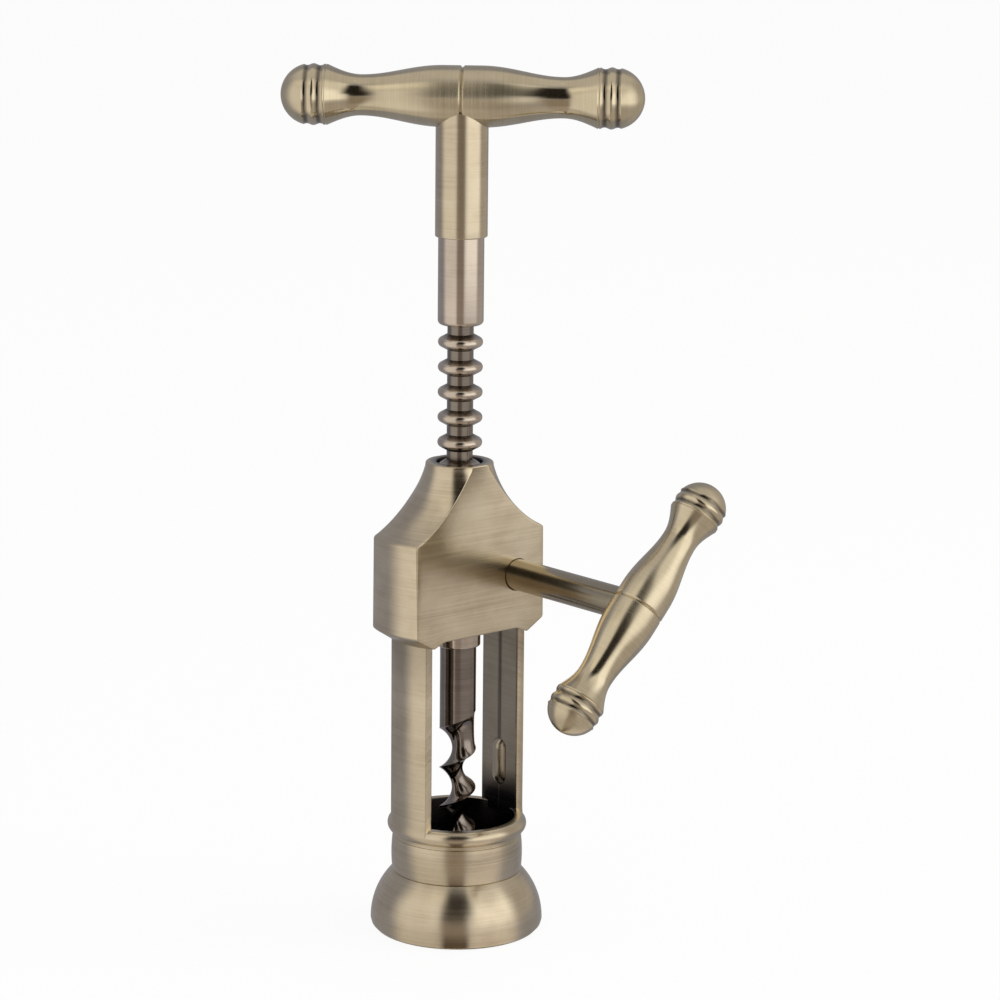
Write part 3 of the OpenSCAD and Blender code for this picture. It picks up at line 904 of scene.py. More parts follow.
@dataclass
class SideCrank:
    """The crank handle at the side with its shaft, and the small parts on the shaft."""

    axis_x: float = CRANK_X
    axis_z: float = CRANK_Z
    reach: float = 47.1
    angle: float = 47.6
    shape: TurnedHandle = field(default_factory=lambda: TurnedHandle(64, 11.6, shine=0.6))
    shaft_r: float = 3.5
    seat_r: float = 3.0
    journal_r: float = 2.5
    seat_from: float = -3.5
    seat_to: float = 3.65
    rear_y: float = 9.3
    shaft_dark: float = 0.3
    shaft_polish: float = 0.75

    def middle(self) -> Matrix:
        """Place of the handle's middle, whose X runs along the handle."""
        spot = Matrix.Translation((self.axis_x, -self.reach, self.axis_z))
        return spot @ Matrix.Rotation(-math.radians(self.angle), 4, "Y")

    def shaft(self) -> Piece:
        """Make the stepped shaft, whose front end is hollowed to sit against the handle.

        Returns:
            The shaft with its marks.
        """
        front = -self.reach + self.shape.diameter / 2
        corners = [
            (0, front),
            (self.shaft_r, front),
            *((self.shaft_r, mix(front + 1, self.seat_from - 1, t)) for t in steps(8)),
            (self.shaft_r, self.seat_from, 0.2),
            (self.seat_r, self.seat_from),
            (self.seat_r, self.seat_to, 0.2),
            (self.journal_r, self.seat_to),
            (self.journal_r, self.rear_y, 0.4),
            (0, self.rear_y),
        ]
        piece = turned("side_shaft_turned", corners, along_y(self.axis_x, self.axis_z), 96)
        piece = self.shape.saddle(piece, self.middle(), Vector((0, 1, 0)), 0.1)
        piece = marked(piece, DARK_PLATE_AND_SHADE, lambda spot: self.shaft_dark)
        return marked(piece, POLISH, lambda spot: self.shaft_polish)

    def build(self, wardrobe: Wardrobe) -> None:
        """Make and dress the pieces.

        Args:
            wardrobe: Keeper of the materials.
        """
        for side, name, node in (
            (1, "side_handle_upper", "side_handle_upper_half"),
            (-1, "side_handle_lower", "side_handle_lower_half"),
        ):
            half = self.shape.half(name, self.middle(), side)
            wardrobe.dress(half, SATIN_BRONZE, Body.CRANK, node)
        wardrobe.dress(self.shaft(), SATIN_BRONZE, Body.CRANK, "side_shaft")
        wardrobe.keep(PINION_BRASS, "drive_pinion")
        wardrobe.keep(DARK_STEEL, "pinion_pin", "side_handle_stud", "shaft_washer", "retaining_clip")


# Rack and worm


@dataclass
class RackSleeve:
    """The sliding sleeve: a plain upper part, round rack rings on a core, and a plain lower end."""

    bottom_z: float = 65.3
    first_z: float = 77.9
    pitch: float = 5.6
    rings: int = 11
    ring_r: float = 4.95
    core_r: float = 2.9
    ring_base: float = 3.6
    ring_crest: float = 1.33
    ring_round: float = 1.05
    root_round: float = 0.3
    sunk: float = 0.06
    # Dark plating and painted shade in the corners between core and rings: share, width and depth
    corner_plate_and_shade: float = 0.85
    corner_width: float = 0.55
    corner_depth: float = 0.9
    collar_top_z: float = 72.3
    plain_z: float = 137.75
    plain_r: float = 5.05
    plain_polish: float = 0.45
    top_z: float = 163.15
    spindle_r: float = 1.77
    mouth_r: float = 4.12
    mouth_z: float = 70.3

    def body(self) -> Piece:
        """Make core, upper part and lower end in one turned piece.

        Returns:
            The piece.
        """
        corners = [
            (self.mouth_r, self.bottom_z, 0.15),
            (self.ring_r, self.bottom_z, 0.45),
            (self.ring_r, self.collar_top_z + self.ring_crest / 2, 0.4),
            (self.core_r, self.collar_top_z + self.ring_base / 2, 0.3),
            (self.core_r, self.plain_z, 0.2),
            (self.plain_r, self.plain_z, 1.0),
            (self.plain_r, self.top_z, 0.3),
            (self.spindle_r, self.top_z, 0.1),
            (self.spindle_r, self.mouth_z),
            (self.mouth_r, self.mouth_z),
        ]
        return turned("rack_body", corners, closed=True)

    def ring(self) -> Piece:
        """Make one ring, with its foot sunk a little into the core.

        Returns:
            The ring, which stands at height 0.
        """
        crest, base, root = self.ring_crest / 2, self.ring_base / 2, self.core_r - self.sunk
        upper = [
            (self.ring_r, crest, self.ring_round),
            (self.core_r, base, self.root_round),
            (root, base + 0.04),
        ]
        lower = [(radius, -height, *soft) for radius, height, *soft in reversed(upper)]
        return turned("rack_rings", lower + upper, closed=True)

    def rings_on(self, ring: Piece, finish: Material) -> Piece:
        """Set rings at even steps along the rack.

        Args:
            ring: One ring, which becomes all of them.
            finish: Material of the rings.

        Returns:
            The rings.
        """
        sizes = {
            "Ring Count": self.rings,
            "Ring Pitch": self.pitch * MM,
            "First Ring Height": self.first_z * MM,
        }
        tree = fresh_group("rack_rings_at_even_steps", "Ring", sizes, "Rings")
        given = add(tree, "NodeGroupInput").node.outputs
        start = add(tree, "ShaderNodeCombineXYZ", {"Z": given["First Ring Height"]})
        step = add(tree, "ShaderNodeCombineXYZ", {"Z": given["Ring Pitch"]})
        along = {"mode": "OFFSET", "Count": given["Ring Count"], "Start Location": start, "Offset": step}
        line = add(tree, "GeometryNodeMeshLine", along)
        set_out = {"Points": line, "Instance": given["Ring"]}
        run_group(ring, tree, add(tree, "GeometryNodeInstanceOnPoints", set_out), finish, sizes)
        return ring

    def dark(self, spot: Vector) -> float:
        """Share of dark plating and painted shade, which lie in the corners between core and rings.

        Args:
            spot: Place on the sleeve.

        Returns:
            The share.
        """
        if not self.collar_top_z < spot.z < self.plain_z + 0.2:
            return 0.0
        off = abs((spot.z - self.first_z + self.pitch / 2) % self.pitch - self.pitch / 2)
        corner = clamped(1 - abs(off - self.ring_base / 2) / self.corner_width)
        near_core = math.hypot(spot.x, spot.y) < self.core_r + self.corner_depth
        return self.corner_plate_and_shade * corner if near_core else 0.0

    def build(self, wardrobe: Wardrobe) -> None:
        """Make and dress the piece.

        Args:
            wardrobe: Keeper of the materials.
        """
        rings = self.rings_on(self.ring(), wardrobe.of(SLEEVE_NICKEL))
        # Dark plating and painted shade in the corners between core and rings
        sleeve = marked(joined("rack_sleeve_ringed", [self.body(), rings]), DARK_PLATE_AND_SHADE, self.dark)
        plain_from = self.plain_z + 0.5
        marked(sleeve, POLISH, lambda spot: self.plain_polish if spot.z > plain_from else 0.0)
        wardrobe.dress(sleeve, SLEEVE_NICKEL, Body.RACK, "rack_sleeve")


# Marks on the tube that becomes the worm: share of the way up, share round, share of the full width
WORM_MARKS = ("up", "round", "width")
# How a point of the tube finds its place: result, operation and operands of each step. An operand is an
# earlier result, a mark, an input of the tree or a number
WORM_STEPS = (
    ("length", "SUBTRACT", "Top Height", "Tip Height"),
    ("height", "MULTIPLY_ADD", "up", "length", "Tip Height"),
    ("risen", "SUBTRACT", "height", "Edge Height"),
    ("turns up", "DIVIDE", "risen", "Pitch"),
    ("turns", "ADD", "turns up", "round"),
    ("angle", "MULTIPLY_ADD", "turns", FULL_TURN, "Start Turn"),
    # Reach of the surface, from the web behind the groove out to the sharp edge
    ("share off", "PINGPONG", "round", 0.5),
    ("away", "MULTIPLY", "share off", 2.0),
    ("near", "SUBTRACT", 1.0, "away"),
    ("half pitch", "MULTIPLY", "Pitch", 0.5),
    ("off", "MULTIPLY", "near", "half pitch"),
    ("off squared", "MULTIPLY", "off", "off"),
    ("groove squared", "MULTIPLY", "Groove Radius", "Groove Radius"),
    ("drop squared", "SUBTRACT", "groove squared", "off squared"),
    ("drop", "SQRT", "drop squared"),
    ("groove axis", "ADD", "Web", "Groove Radius"),
    ("reach", "SUBTRACT", "groove axis", "drop"),
    # Depth of the groove, which grows from nothing at the shank
    ("share ahead", "SUBTRACT", 0.5, "round"),
    ("ahead", "MULTIPLY", "share ahead", "Pitch"),
    ("groove height", "SUBTRACT", "height", "ahead"),
    ("below top", "SUBTRACT", "Groove Top", "groove height"),
    ("run", "MULTIPLY", "Pitch", "Groove Run"),
    ("run share", "DIVIDE", "below top", "run"),
    ("not above", "MAXIMUM", "run share", 0.0),
    ("depth", "MINIMUM", "not above", 1.0),
    ("bite", "SUBTRACT", "reach", "Plain Radius"),
    ("full radius", "MULTIPLY_ADD", "depth", "bite", "Plain Radius"),
    # The point gets thinner towards its tip
    ("above tip", "SUBTRACT", "height", "Tip Height"),
    ("point way", "DIVIDE", "above tip", "Point Length"),
    ("point rest", "SUBTRACT", 1.0, "Point Share"),
    ("taper", "MULTIPLY_ADD", "point way", "point rest", "Point Share"),
    ("slim", "MINIMUM", "taper", 1.0),
    ("slim width", "MULTIPLY", "slim", "width"),
    ("radius", "MULTIPLY", "full radius", "slim width"),
    ("cosine", "COSINE", "angle"),
    ("sine", "SINE", "angle"),
    ("x", "MULTIPLY", "radius", "cosine"),
    ("y", "MULTIPLY", "radius", "sine"),
)


@dataclass
class Worm:
    """The screw: a solid worm cut out of its own shank, with the spindle above."""

    tip_z: float = 14.2
    top_z: float = 70.25
    groove_top_z: float = 46.6
    edge_z: float = 36.8
    pitch: float = 9.15
    start_turn: float = 140.1
    plain_r: float = 4.05
    edge_r: float = 4.15
    web: float = 1.2
    groove_run: float = 0.4
    point_length: float = 7.0
    point_share: float = 0.12
    tube_r: float = 4.0
    nose_length: float = 0.9
    nose_width: float = 0.25
    gathering: float = 0.75
    spindle_r: float = 1.7
    spindle_top_z: float = 179.95
    rows_a_turn: int = 56
    columns: int = 56

    def blank(self) -> Piece:
        """Make a plain tube whose points know their share of the way up and round.

        Returns:
            The tube, with more columns near the sharp edge.
        """
        length = self.top_z - self.tip_z
        count = round(length / self.pitch * self.rows_a_turn)
        up = np.concatenate([[0.0], np.linspace(0, 1, count + 1), [1.0]])
        width = np.maximum(np.sqrt(np.clip(up * length / self.nose_length, 0, 1)), self.nose_width)
        width[[0, -1]] = 0.0
        share = np.arange(self.columns) / self.columns
        around = share - self.gathering * np.sin(FULL_TURN * share) / FULL_TURN
        rows = np.zeros((len(up), self.columns, 3))
        rows[:, :, 0] = self.tube_r * np.cos(around * FULL_TURN)
        rows[:, :, 1] = self.tube_r * np.sin(around * FULL_TURN)
        rows[:, :, 2] = (self.tip_z + length * up)[:, None]
        piece = loft("worm_cut", rows, rows[:, 0, 2].tolist())
        tall = (np.repeat(up, self.columns), np.tile(around, len(up)), np.repeat(width, self.columns))
        for name, values in zip(WORM_MARKS, tall):
            store(piece.data, name, "FLOAT", values)
        return piece

    def sizes(self) -> dict[str, float]:
        """Work out the sizes that the tree asks for.

        Returns:
            Lengths in metres, angles in radians and shares, by name.
        """
        rise, half = self.edge_r - self.web, self.pitch / 2
        lengths = {
            "Tip Height": self.tip_z,
            "Top Height": self.top_z,
            "Groove Top": self.groove_top_z,
            "Edge Height": self.edge_z,
            "Pitch": self.pitch,
            "Plain Radius": self.plain_r,
            "Web": self.web,
            "Groove Radius": (half * half + rise * rise) / (2 * rise),
            "Point Length": self.point_length,
        }
        return {
            **{name: length * MM for name, length in lengths.items()},
            "Start Turn": math.radians(self.start_turn),
            "Groove Run": self.groove_run,
            "Point Share": self.point_share,
        }

    def wound(self, tube: Piece, finish: Material) -> Piece:
        """Wind the tube into the worm.

        Args:
            tube: The blank, which becomes the worm.
            finish: Material of the worm.

        Returns:
            The worm.
        """
        sizes = self.sizes()
        tree = fresh_group("worm_by_rule", "Tube", sizes, "Worm")
        known = dict(add(tree, "NodeGroupInput").node.outputs.items())
        for mark in WORM_MARKS:
            reading = {"data_type": "FLOAT", "Name": mark}
            known[mark] = add(tree, "GeometryNodeInputNamedAttribute", reading)
        for name, operation, *operands in WORM_STEPS:
            inputs = {i: known.get(operand, operand) for i, operand in enumerate(operands)}
            known[name] = add(tree, "ShaderNodeMath", {"operation": operation, **inputs})
        spot = {"X": known["x"], "Y": known["y"], "Z": known["height"]}
        moved = {"Geometry": known["Tube"], "Position": add(tree, "ShaderNodeCombineXYZ", spot)}
        run_group(tube, tree, add(tree, "GeometryNodeSetPosition", moved), finish, sizes)
        return tube

    def build(self, wardrobe: Wardrobe) -> None:
        """Make and dress the piece.

        Args:
            wardrobe: Keeper of the materials.
        """
        worm = self.wound(self.blank(), wardrobe.of(BLACK_NICKEL))
        low, high = self.top_z - 1, self.spindle_top_z
        corners = [(0, low), (self.spindle_r, low), (self.spindle_r, high, 0.3), (0, high)]
        worm = joined("worm_on_spindle", [worm, turned("spindle", corners, columns=48)])
        wardrobe.dress(worm, BLACK_NICKEL, Body.SCREW, "worm_spindle")


# Head, cage and base


@dataclass
class Head:
    """The turned head with its two flats, its bores and the pocket of the pinion."""

    bottom_z: float = 67.8
    chamfer_h: float = 2.75
    side_h: float = 20.9
    shoulder_h: float = 15.8
    shoulder_sag: float = 2.1
    diameter: float = 39.5
    top_d: float = 14.4
    foot_d: float = 31.0
    hollow_d: float = 26.4
    hollow_h: float = 1.2
    level_h: float = 6.0
    side_round: float = 0.9
    shoulder_round: float = 0.8
    rim_round: float = 0.6
    flats: float = 15.4
    flat_polish: float = 0.45
    draft: float = 1.2
    bore_r: float = 5.15
    corner: float = 0.34
    edge: float = 0.272
    axis_x: float = CRANK_X
    axis_z: float = CRANK_Z
    shaft_r: float = 3.57
    journal_r: float = 2.57
    pocket_r: float = 7.75
    pocket_w: float = 7.4
    seat_y: float = 7.55
    seat_r: float = 5.0
    past_y: float = 12.0
    pin_x: float = 13.925
    pin_z: float = 70.9
    pin_from: float = -7.2
    pin_r: float = 1.22

    @property
    def top_z(self) -> float:
        """Height of the top face."""
        return self.bottom_z + self.chamfer_h + self.side_h + self.shoulder_h

    def underside(self, reach: np.ndarray) -> np.ndarray:
        """Height of the hollowed underside at distances from the axis."""
        inner, outer = self.hollow_d / 2, self.foot_d / 2
        return self.bottom_z + self.hollow_h * np.clip((outer - reach) / (outer - inner), 0, 1)

    def section(self, radius: float, half: float) -> np.ndarray:
        """Round section with two flats and softened corners.

        Args:
            radius: Radius of the round.
            half: Distance of each flat from the middle.

        Returns:
            Points round the section, the same number for each section.
        """
        soft, half = min(self.corner, radius / 3), min(half, radius)
        corner_x = math.sqrt(max(0.0, (radius - soft) ** 2 - (half - soft) ** 2))
        start = math.atan2(half - soft, corner_x)
        arc = [(radius * math.cos(t), radius * math.sin(t)) for t in np.linspace(0, start, 33)[:-1]]
        corner = [
            (corner_x + soft * math.cos(t), half - soft + soft * math.sin(t))
            for t in np.linspace(start, math.pi / 2, 8)[:-1]
        ]
        flat = [(corner_x * (1 - t), half) for t in steps(16)]
        quarter = np.array(arc + corner + flat)
        left, back = (quarter * (-1, 1))[::-1], (quarter * (1, -1))[::-1]
        return np.concatenate([part[:-1] for part in (quarter, left, -quarter, back)])

    def roundover(self, distance: float) -> float:
        """How far an edge is rounded off at a distance from its face."""
        left = max(0.0, self.edge - distance)
        return self.edge - math.sqrt(self.edge**2 - left * left)

    def wall(self) -> Outline:
        """Outline of the outer wall.

        Returns:
            Radius and height from the underside to the top face.
        """
        side_z = self.bottom_z + self.chamfer_h
        shoulder_z = side_z + self.side_h
        radius, top_r, foot_r = self.diameter / 2, self.top_d / 2, self.foot_d / 2
        arc = bow((radius - 0.25, shoulder_z), (top_r + 0.25, self.top_z - 0.5), self.shoulder_sag, 36)
        # Heights of rows near the foot's edge, close together where it is rounded off
        foot = (0.0, 0.05, 0.15, 0.3, 0.6)
        corners = [
            *((mix(foot_r, radius, up / self.chamfer_h), self.bottom_z + up) for up in foot),
            (radius, side_z, self.side_round),
            *((radius, side_z + self.side_h * t) for t in steps(12)[1:-1]),
            (radius, shoulder_z - 0.13, self.shoulder_round),
            *arc[2:-1],
            (top_r + 0.3, self.top_z, self.rim_round),
            (top_r - 0.7, self.top_z),
        ]
        return rounded(corners)[:-1]

    def solid(self) -> Piece:
        """Make the closed form before its bores are cut.

        Returns:
            The form: wall, top face, bore and hollowed underside.
        """
        lean = math.tan(math.radians(self.draft))
        wide = self.flats / 2 + lean * (self.axis_z - self.bottom_z)
        outline = self.wall()
        rows = []
        for radius, height in outline:
            up = height - self.bottom_z
            low, high = self.roundover(up), self.roundover(self.top_z - height)
            flat = self.section(radius - low, wide - lean * up - low - high)
            # The hollow of the underside fades out of the rows above it
            rise = self.underside(np.linalg.norm(flat, axis=1)) - self.bottom_z
            ease = max(0.0, (self.level_h - up) / self.level_h)
            rows.append(np.concatenate([flat, (height + rise * ease)[:, None]], 1))
        last = rows[-1][:, :2]
        angles = np.arctan2(last[:, 1], last[:, 0])
        ring = np.stack([np.cos(angles), np.sin(angles)], 1)
        for radius, height in (
            (self.bore_r + 0.2, self.top_z),
            (self.bore_r, self.top_z - 0.2),
            (self.bore_r, self.bottom_z + self.hollow_h),
        ):
            rows.append(np.concatenate([ring * radius, np.full((len(ring), 1), height)], 1))
            outline.append((radius, height))
        first = rows[0][:, :2]
        reach = np.linalg.norm(first, axis=1)
        inner = self.hollow_d / 2
        # Rows over the underside, close together where the hollow begins to rise
        for limit in (8, inner - 0.3, inner, inner + 0.3, 15.0):
            kept = np.minimum(reach, limit)
            flat = first / reach[:, None] * kept[:, None]
            rows.append(np.concatenate([flat, self.underside(kept)[:, None]], 1))
            outline.append((limit, self.bottom_z))
        return placed(loft("head_turned", np.array(rows), distances(outline), closed=True))

    def cutters(self) -> list[Piece]:
        """Make the solids that open the bearings, the pinion's pocket and the holes of the cage pins.

        Returns:
            The solids.
        """
        front, half, past = along_y(self.axis_x, self.axis_z), self.pocket_w / 2, self.past_y
        mouth = [(0, -past), (self.shaft_r + 4, -past)]
        bearing = [*mouth, (self.shaft_r, -self.seat_y, 0.1), (self.shaft_r, 1), (0, 1)]
        cutters = [
            turned(name, corners, front, 96)
            for name, corners in (
                ("front_bearing", bearing),
                ("rear_bearing", rod(self.journal_r, 0, past)),
                ("seat", rod(self.seat_r, self.seat_y, past)),
                ("pocket", rod(self.pocket_r, -half, half)),
            )
        ]
        pin = rod(self.pin_r, self.pin_from, past)
        for side in (-1, 1):
            cutters.append(turned("pin_hole", pin, along_y(side * self.pin_x, self.pin_z), 48))
        return cutters

    def build(self, wardrobe: Wardrobe) -> None:
        """Make and dress the piece.

        Args:
            wardrobe: Keeper of the materials.
        """
        # The bore ends in a soft edge, and the flats lean in, so both are told by a margin
        bore, flat_y = self.bore_r + 0.25, self.flats / 2 - 0.75
        cutters = self.cutters()
        head = cut_away(self.solid(), cutters)
        # Dark plating and painted shade fill the bore
        marked(head, DARK_PLATE_AND_SHADE, lambda spot: float(math.hypot(spot.x, spot.y) < bore))
        marked(head, POLISH, lambda spot: self.flat_polish if abs(spot.y) > flat_y else 0.0)
        wardrobe.dress(head, BRUSHED_BRONZE, Body.FRAME, "head_housing")


@dataclass
class Base:
    """The bell that the corkscrew stands on, with the guide for the bottle's mouth inside."""

    bell_d: float = 38.8
    foot_d: float = 36.6
    bell_h: float = 13.4
    widest_z: float = 1.8
    sag: float = 1.3
    joint_h: float = 2.6
    spigot_d: float = 27.9
    guide_d: float = 31.9
    socket_d: float = 30.0
    socket_depth: float = 9.4
    neck_bore_d: float = 25.8
    press_fit: float = 0.02

    @property
    def shelf_z(self) -> float:
        """Height of the neck's lower end inside the bell."""
        return self.bell_h - self.joint_h

    def bell(self) -> Piece:
        """Make the bell's shell.

        Returns:
            The shell.
        """
        radius, rim_r = self.bell_d / 2, self.spigot_d / 2 + 0.5
        guide_r, spigot_r = self.guide_d / 2 + self.press_fit, self.spigot_d / 2 + self.press_fit
        corners = [
            (guide_r, 0, 0.2),
            (self.foot_d / 2, 0, 0.3),
            (radius - 0.25, self.widest_z / 2, 0.5),
            *bow((radius, self.widest_z), (rim_r, self.bell_h), -self.sag, 40)[:-1],
            (rim_r, self.bell_h, 0.2),
            (spigot_r, self.bell_h),
            (spigot_r, self.shelf_z),
            (guide_r, self.shelf_z),
        ]
        return turned("bell_turned", corners, closed=True, columns=192)

    def guide(self) -> Piece:
        """Make the plastic ring in the bell.

        Returns:
            The ring.
        """
        top_z = self.shelf_z - self.press_fit
        corners = [
            (self.socket_d / 2, 0, 0.3),
            (self.guide_d / 2, 0, 0.15),
            (self.guide_d / 2, top_z, 0.15),
            (self.neck_bore_d / 2, top_z, 0.2),
            (self.neck_bore_d / 2, self.socket_depth, 0.3),
            (self.socket_d / 2, self.socket_depth, 0.2),
        ]
        return turned("guide_moulded", corners, closed=True)

    def build(self, wardrobe: Wardrobe) -> None:
        """Make and dress the pieces.

        Args:
            wardrobe: Keeper of the materials.
        """
        wardrobe.dress(self.bell(), BRUSHED_BRONZE, Body.FRAME, "bell_base")
        wardrobe.dress(self.guide(), BLACK_PLASTIC, Body.FRAME, "bottle_guide")


@dataclass
class Cage:
    """The open stand: two legs with a raised pad inside each, on the ring of the neck."""

    leg_d: float = 31.0
    leg_t: float = 3.15
    leg_w: float = 12.2
    leg_line: float = 0.7
    neck_top_z: float = 25.9
    bead_d: float = 31.3
    bead_h: float = 3.4
    bead_sag: float = 0.9
    band_d: float = 29.2
    band_sag: float = 0.22
    pad_length: float = 10.9
    pad_w: float = 4.6
    pad_t: float = 1.1
    pad_z: float = 36.0
    seam_ridge: float = 0.3
    seam_dark: float = 0.85
    # Dark plating and painted shade inside the legs and on the pads' tops, painted shade outside under the
    # head, painted shadow at each pad's foot
    inside_plate_and_shade: float = 0.42
    outside_painted_shade: float = 0.28
    pad_foot_painted_shadow: float = 0.95
    pad_top_plate_and_shade: float = 0.3
    # Where the dark plating and painted shade begin to fade, and over what height: up from the neck, down
    # from the head
    neck_fade: tuple[float, float] = (9.0, 6.0)
    head_fade: tuple[float, float] = (12.0, 9.0)
    head: Head = field(default_factory=Head)
    base: Base = field(default_factory=Base)

    @property
    def inner(self) -> float:
        """Distance of a leg's inner face from the axis."""
        return self.leg_d / 2 - self.leg_t

    def neck(self) -> Piece:
        """Make the neck with its bead, band and spigot.

        Returns:
            The neck, with dark plating and painted shade in its bore.
        """
        bead_r, band_r, bore_r = self.bead_d / 2, self.band_d / 2, self.base.neck_bore_d / 2
        spigot_r, low_z, joint_z = self.base.spigot_d / 2, self.base.shelf_z, self.base.bell_h
        top_z, rim_r = self.neck_top_z, bead_r - self.bead_sag
        bead_z, foot_z = top_z - self.bead_h, joint_z + self.base.press_fit
        corners = [
            (bore_r, low_z, 0.2),
            (spigot_r, low_z, 0.2),
            (spigot_r, foot_z),
            (band_r - 0.1, foot_z, 0.3),
            *bow((band_r, joint_z + 0.5), (band_r - 0.12, bead_z - 1.0), -self.band_sag, 20),
            (band_r - 0.3, bead_z - 0.85, 0.1),
            (band_r - 0.3, bead_z, 0.1),
            *bow((rim_r, bead_z), (rim_r, top_z - 0.25), -self.bead_sag, 20),
            (rim_r - 0.2, top_z, 0.25),
            (bore_r, top_z, 0.25),
        ]
        neck = turned("neck", corners, closed=True, columns=192)
        # Dark plating and painted shade fill the bore
        return marked(neck, DARK_PLATE_AND_SHADE, lambda spot: float(math.hypot(spot.x, spot.y) < bore_r + 0.1))

    def leg_section(self) -> np.ndarray:
        """Round of a leg on the +X side, with the seam's ridge inside.

        Returns:
            Points round the leg, at even steps along each straight side.
        """
        outer, half, ridge = self.leg_d / 2, self.leg_w / 2, self.seam_ridge / 2
        turn = math.asin(half / outer)
        arc = [(outer * math.cos(t), outer * math.sin(t)) for t in np.linspace(-turn, turn, 25)]
        corners = [
            (self.inner, -half, 0.3),
            (*arc[0], 0.22),
            *arc[1:-1],
            (*arc[-1], 0.22),
            (self.inner, half, 0.3),
            (self.inner, ridge * 1.3),
            (self.inner - ridge, ridge * 0.7),
            (self.inner - ridge, -ridge * 0.7),
            (self.inner, -ridge * 1.3),
        ]
        fine = rounded(corners, closed=True, lines=5)
        loop = []
        for here, after in zip(fine, fine[1:] + fine[:1]):
            for t in steps(max(1, round(math.dist(here, after) / self.leg_line)))[:-1]:
                loop.append((mix(here[0], after[0], t), mix(here[1], after[1], t)))
        return np.array(loop)

    def flush(self, height: float) -> float:
        """How far a leg's outside stands out over the leg, so that it covers the bead.

        Args:
            height: Height over the foot.

        Returns:
            Millimetres from the leg's own radius, negative for less.
        """
        above = height - (self.neck_top_z - self.bead_h / 2)
        over = (self.bead_d - self.leg_d) / 2 + 0.02
        if above >= 0:
            return over * max(0.0, 1 - above / 3) ** 2
        return over - self.bead_sag * (above / (self.bead_h / 2)) ** 2

    def leg(self, side: int) -> Piece:
        """Make one leg, from inside the neck's ring up to the head.

        Args:
            side: 1 for the leg on +X and -1 for the other.

        Returns:
            The marked leg.
        """
        outer, half_bead = self.leg_d / 2, self.bead_h / 2
        flat = self.leg_section() * side
        reach = np.linalg.norm(flat, axis=1)
        # Only the outer face stands out over the leg, and it does so from under the bead's middle
        outside = np.clip((reach - outer + 0.45) / 0.3, 0, 1)
        low = self.neck_top_z - half_bead - outside * (half_bead - 0.3)
        top = self.head.underside(reach) + 0.05
        middle = np.repeat(flat.mean(axis=0)[None], len(flat), 0)
        rows = [np.concatenate([middle, np.full((len(flat), 1), low.mean())], 1)]
        # Rows lie close together low down, where the outer face follows the bead
        shares = np.concatenate([np.linspace(0, 0.12, 16), np.linspace(0.12, 1, 24)[1:]])
        for share in shares:
            height = mix(low, top, share)
            grow = 1 + outside * np.array([self.flush(z) for z in height]) / outer
            rows.append(np.concatenate([flat * grow[:, None], height[:, None]], 1))
        rows.append(np.concatenate([middle, np.full((len(flat), 1), top.mean())], 1))
        up = mix(self.neck_top_z - self.bead_h, self.head.bottom_z, shares).tolist()
        return marked(placed(loft("leg", np.array(rows), [0.0, *up, up[-1]])), DARK_PLATE_AND_SHADE, self.dark)

    def dark(self, spot: Vector) -> float:
        """Share of dark plating and painted shade on a leg, most of it inside, low down and under the
        head.

        Args:
            spot: Place on the leg.

        Returns:
            The share.
        """
        if abs(spot.x) >= self.inner + 0.12:
            # Painted shade on the outer face under the head
            start, run = self.head_fade
            return self.outside_painted_shade * clamped((spot.z - self.head.bottom_z + start) / run)
        if abs(spot.y) < self.seam_ridge and spot.z > self.pad_z:
            return self.seam_dark
        # Inside: dark plating with painted shade, darkest low down by the neck
        start, run = self.neck_fade
        return mix(self.inside_plate_and_shade, 1, clamped((self.neck_top_z + start - spot.z) / run))

    def pad(self, side: int) -> Piece:
        """Make the raised pad inside a leg, domed across and rounded at its ends.

        Args:
            side: 1 for the leg on +X and -1 for the other.

        Returns:
            The pad, with a painted shadow at its foot.
        """
        width = self.pad_w / 2
        straight = self.pad_length / 2 - width
        dome = (width * width + self.pad_t * self.pad_t) / (2 * self.pad_t)
        profile = [(0.0, -0.1), (width, -0.1)]
        for t in steps(12):
            radius = width * math.cos(math.pi / 2 * t)
            profile.append((radius, math.sqrt(dome * dome - radius * radius) - dome + self.pad_t))
        angles = np.linspace(0, FULL_TURN, 64, endpoint=False)
        ends = self.pad_z + np.where(np.sin(angles) > 0, straight, -straight)
        rows = []
        for radius, height in profile:
            x = np.full(64, side * (self.inner - height))
            rows.append(np.stack([x, side * radius * np.cos(angles), radius * np.sin(angles) + ends], 1))
        pad = placed(loft("pad", np.array(rows), distances(profile)))
        # Painted shadow at the pad's foot, fading to dark plating and painted shade on its top
        dark, bright, run = self.pad_foot_painted_shadow, self.pad_top_plate_and_shade, 0.4
        return marked(
            pad, DARK_PLATE_AND_SHADE, lambda spot: mix(dark, bright, min(1.0, (self.inner - abs(spot.x)) / run))
        )

    def build(self, wardrobe: Wardrobe) -> None:
        """Make and dress the pieces.

        Args:
            wardrobe: Keeper of the materials.
        """
        parts = [self.neck(), self.leg(-1), self.leg(1), self.pad(-1), self.pad(1)]
        wardrobe.dress(joined("cage_with_neck", parts), BRUSHED_BRONZE, Body.FRAME, "cage_frame")
        wardrobe.keep(DARK_STEEL, "cage_pins")


# Studio


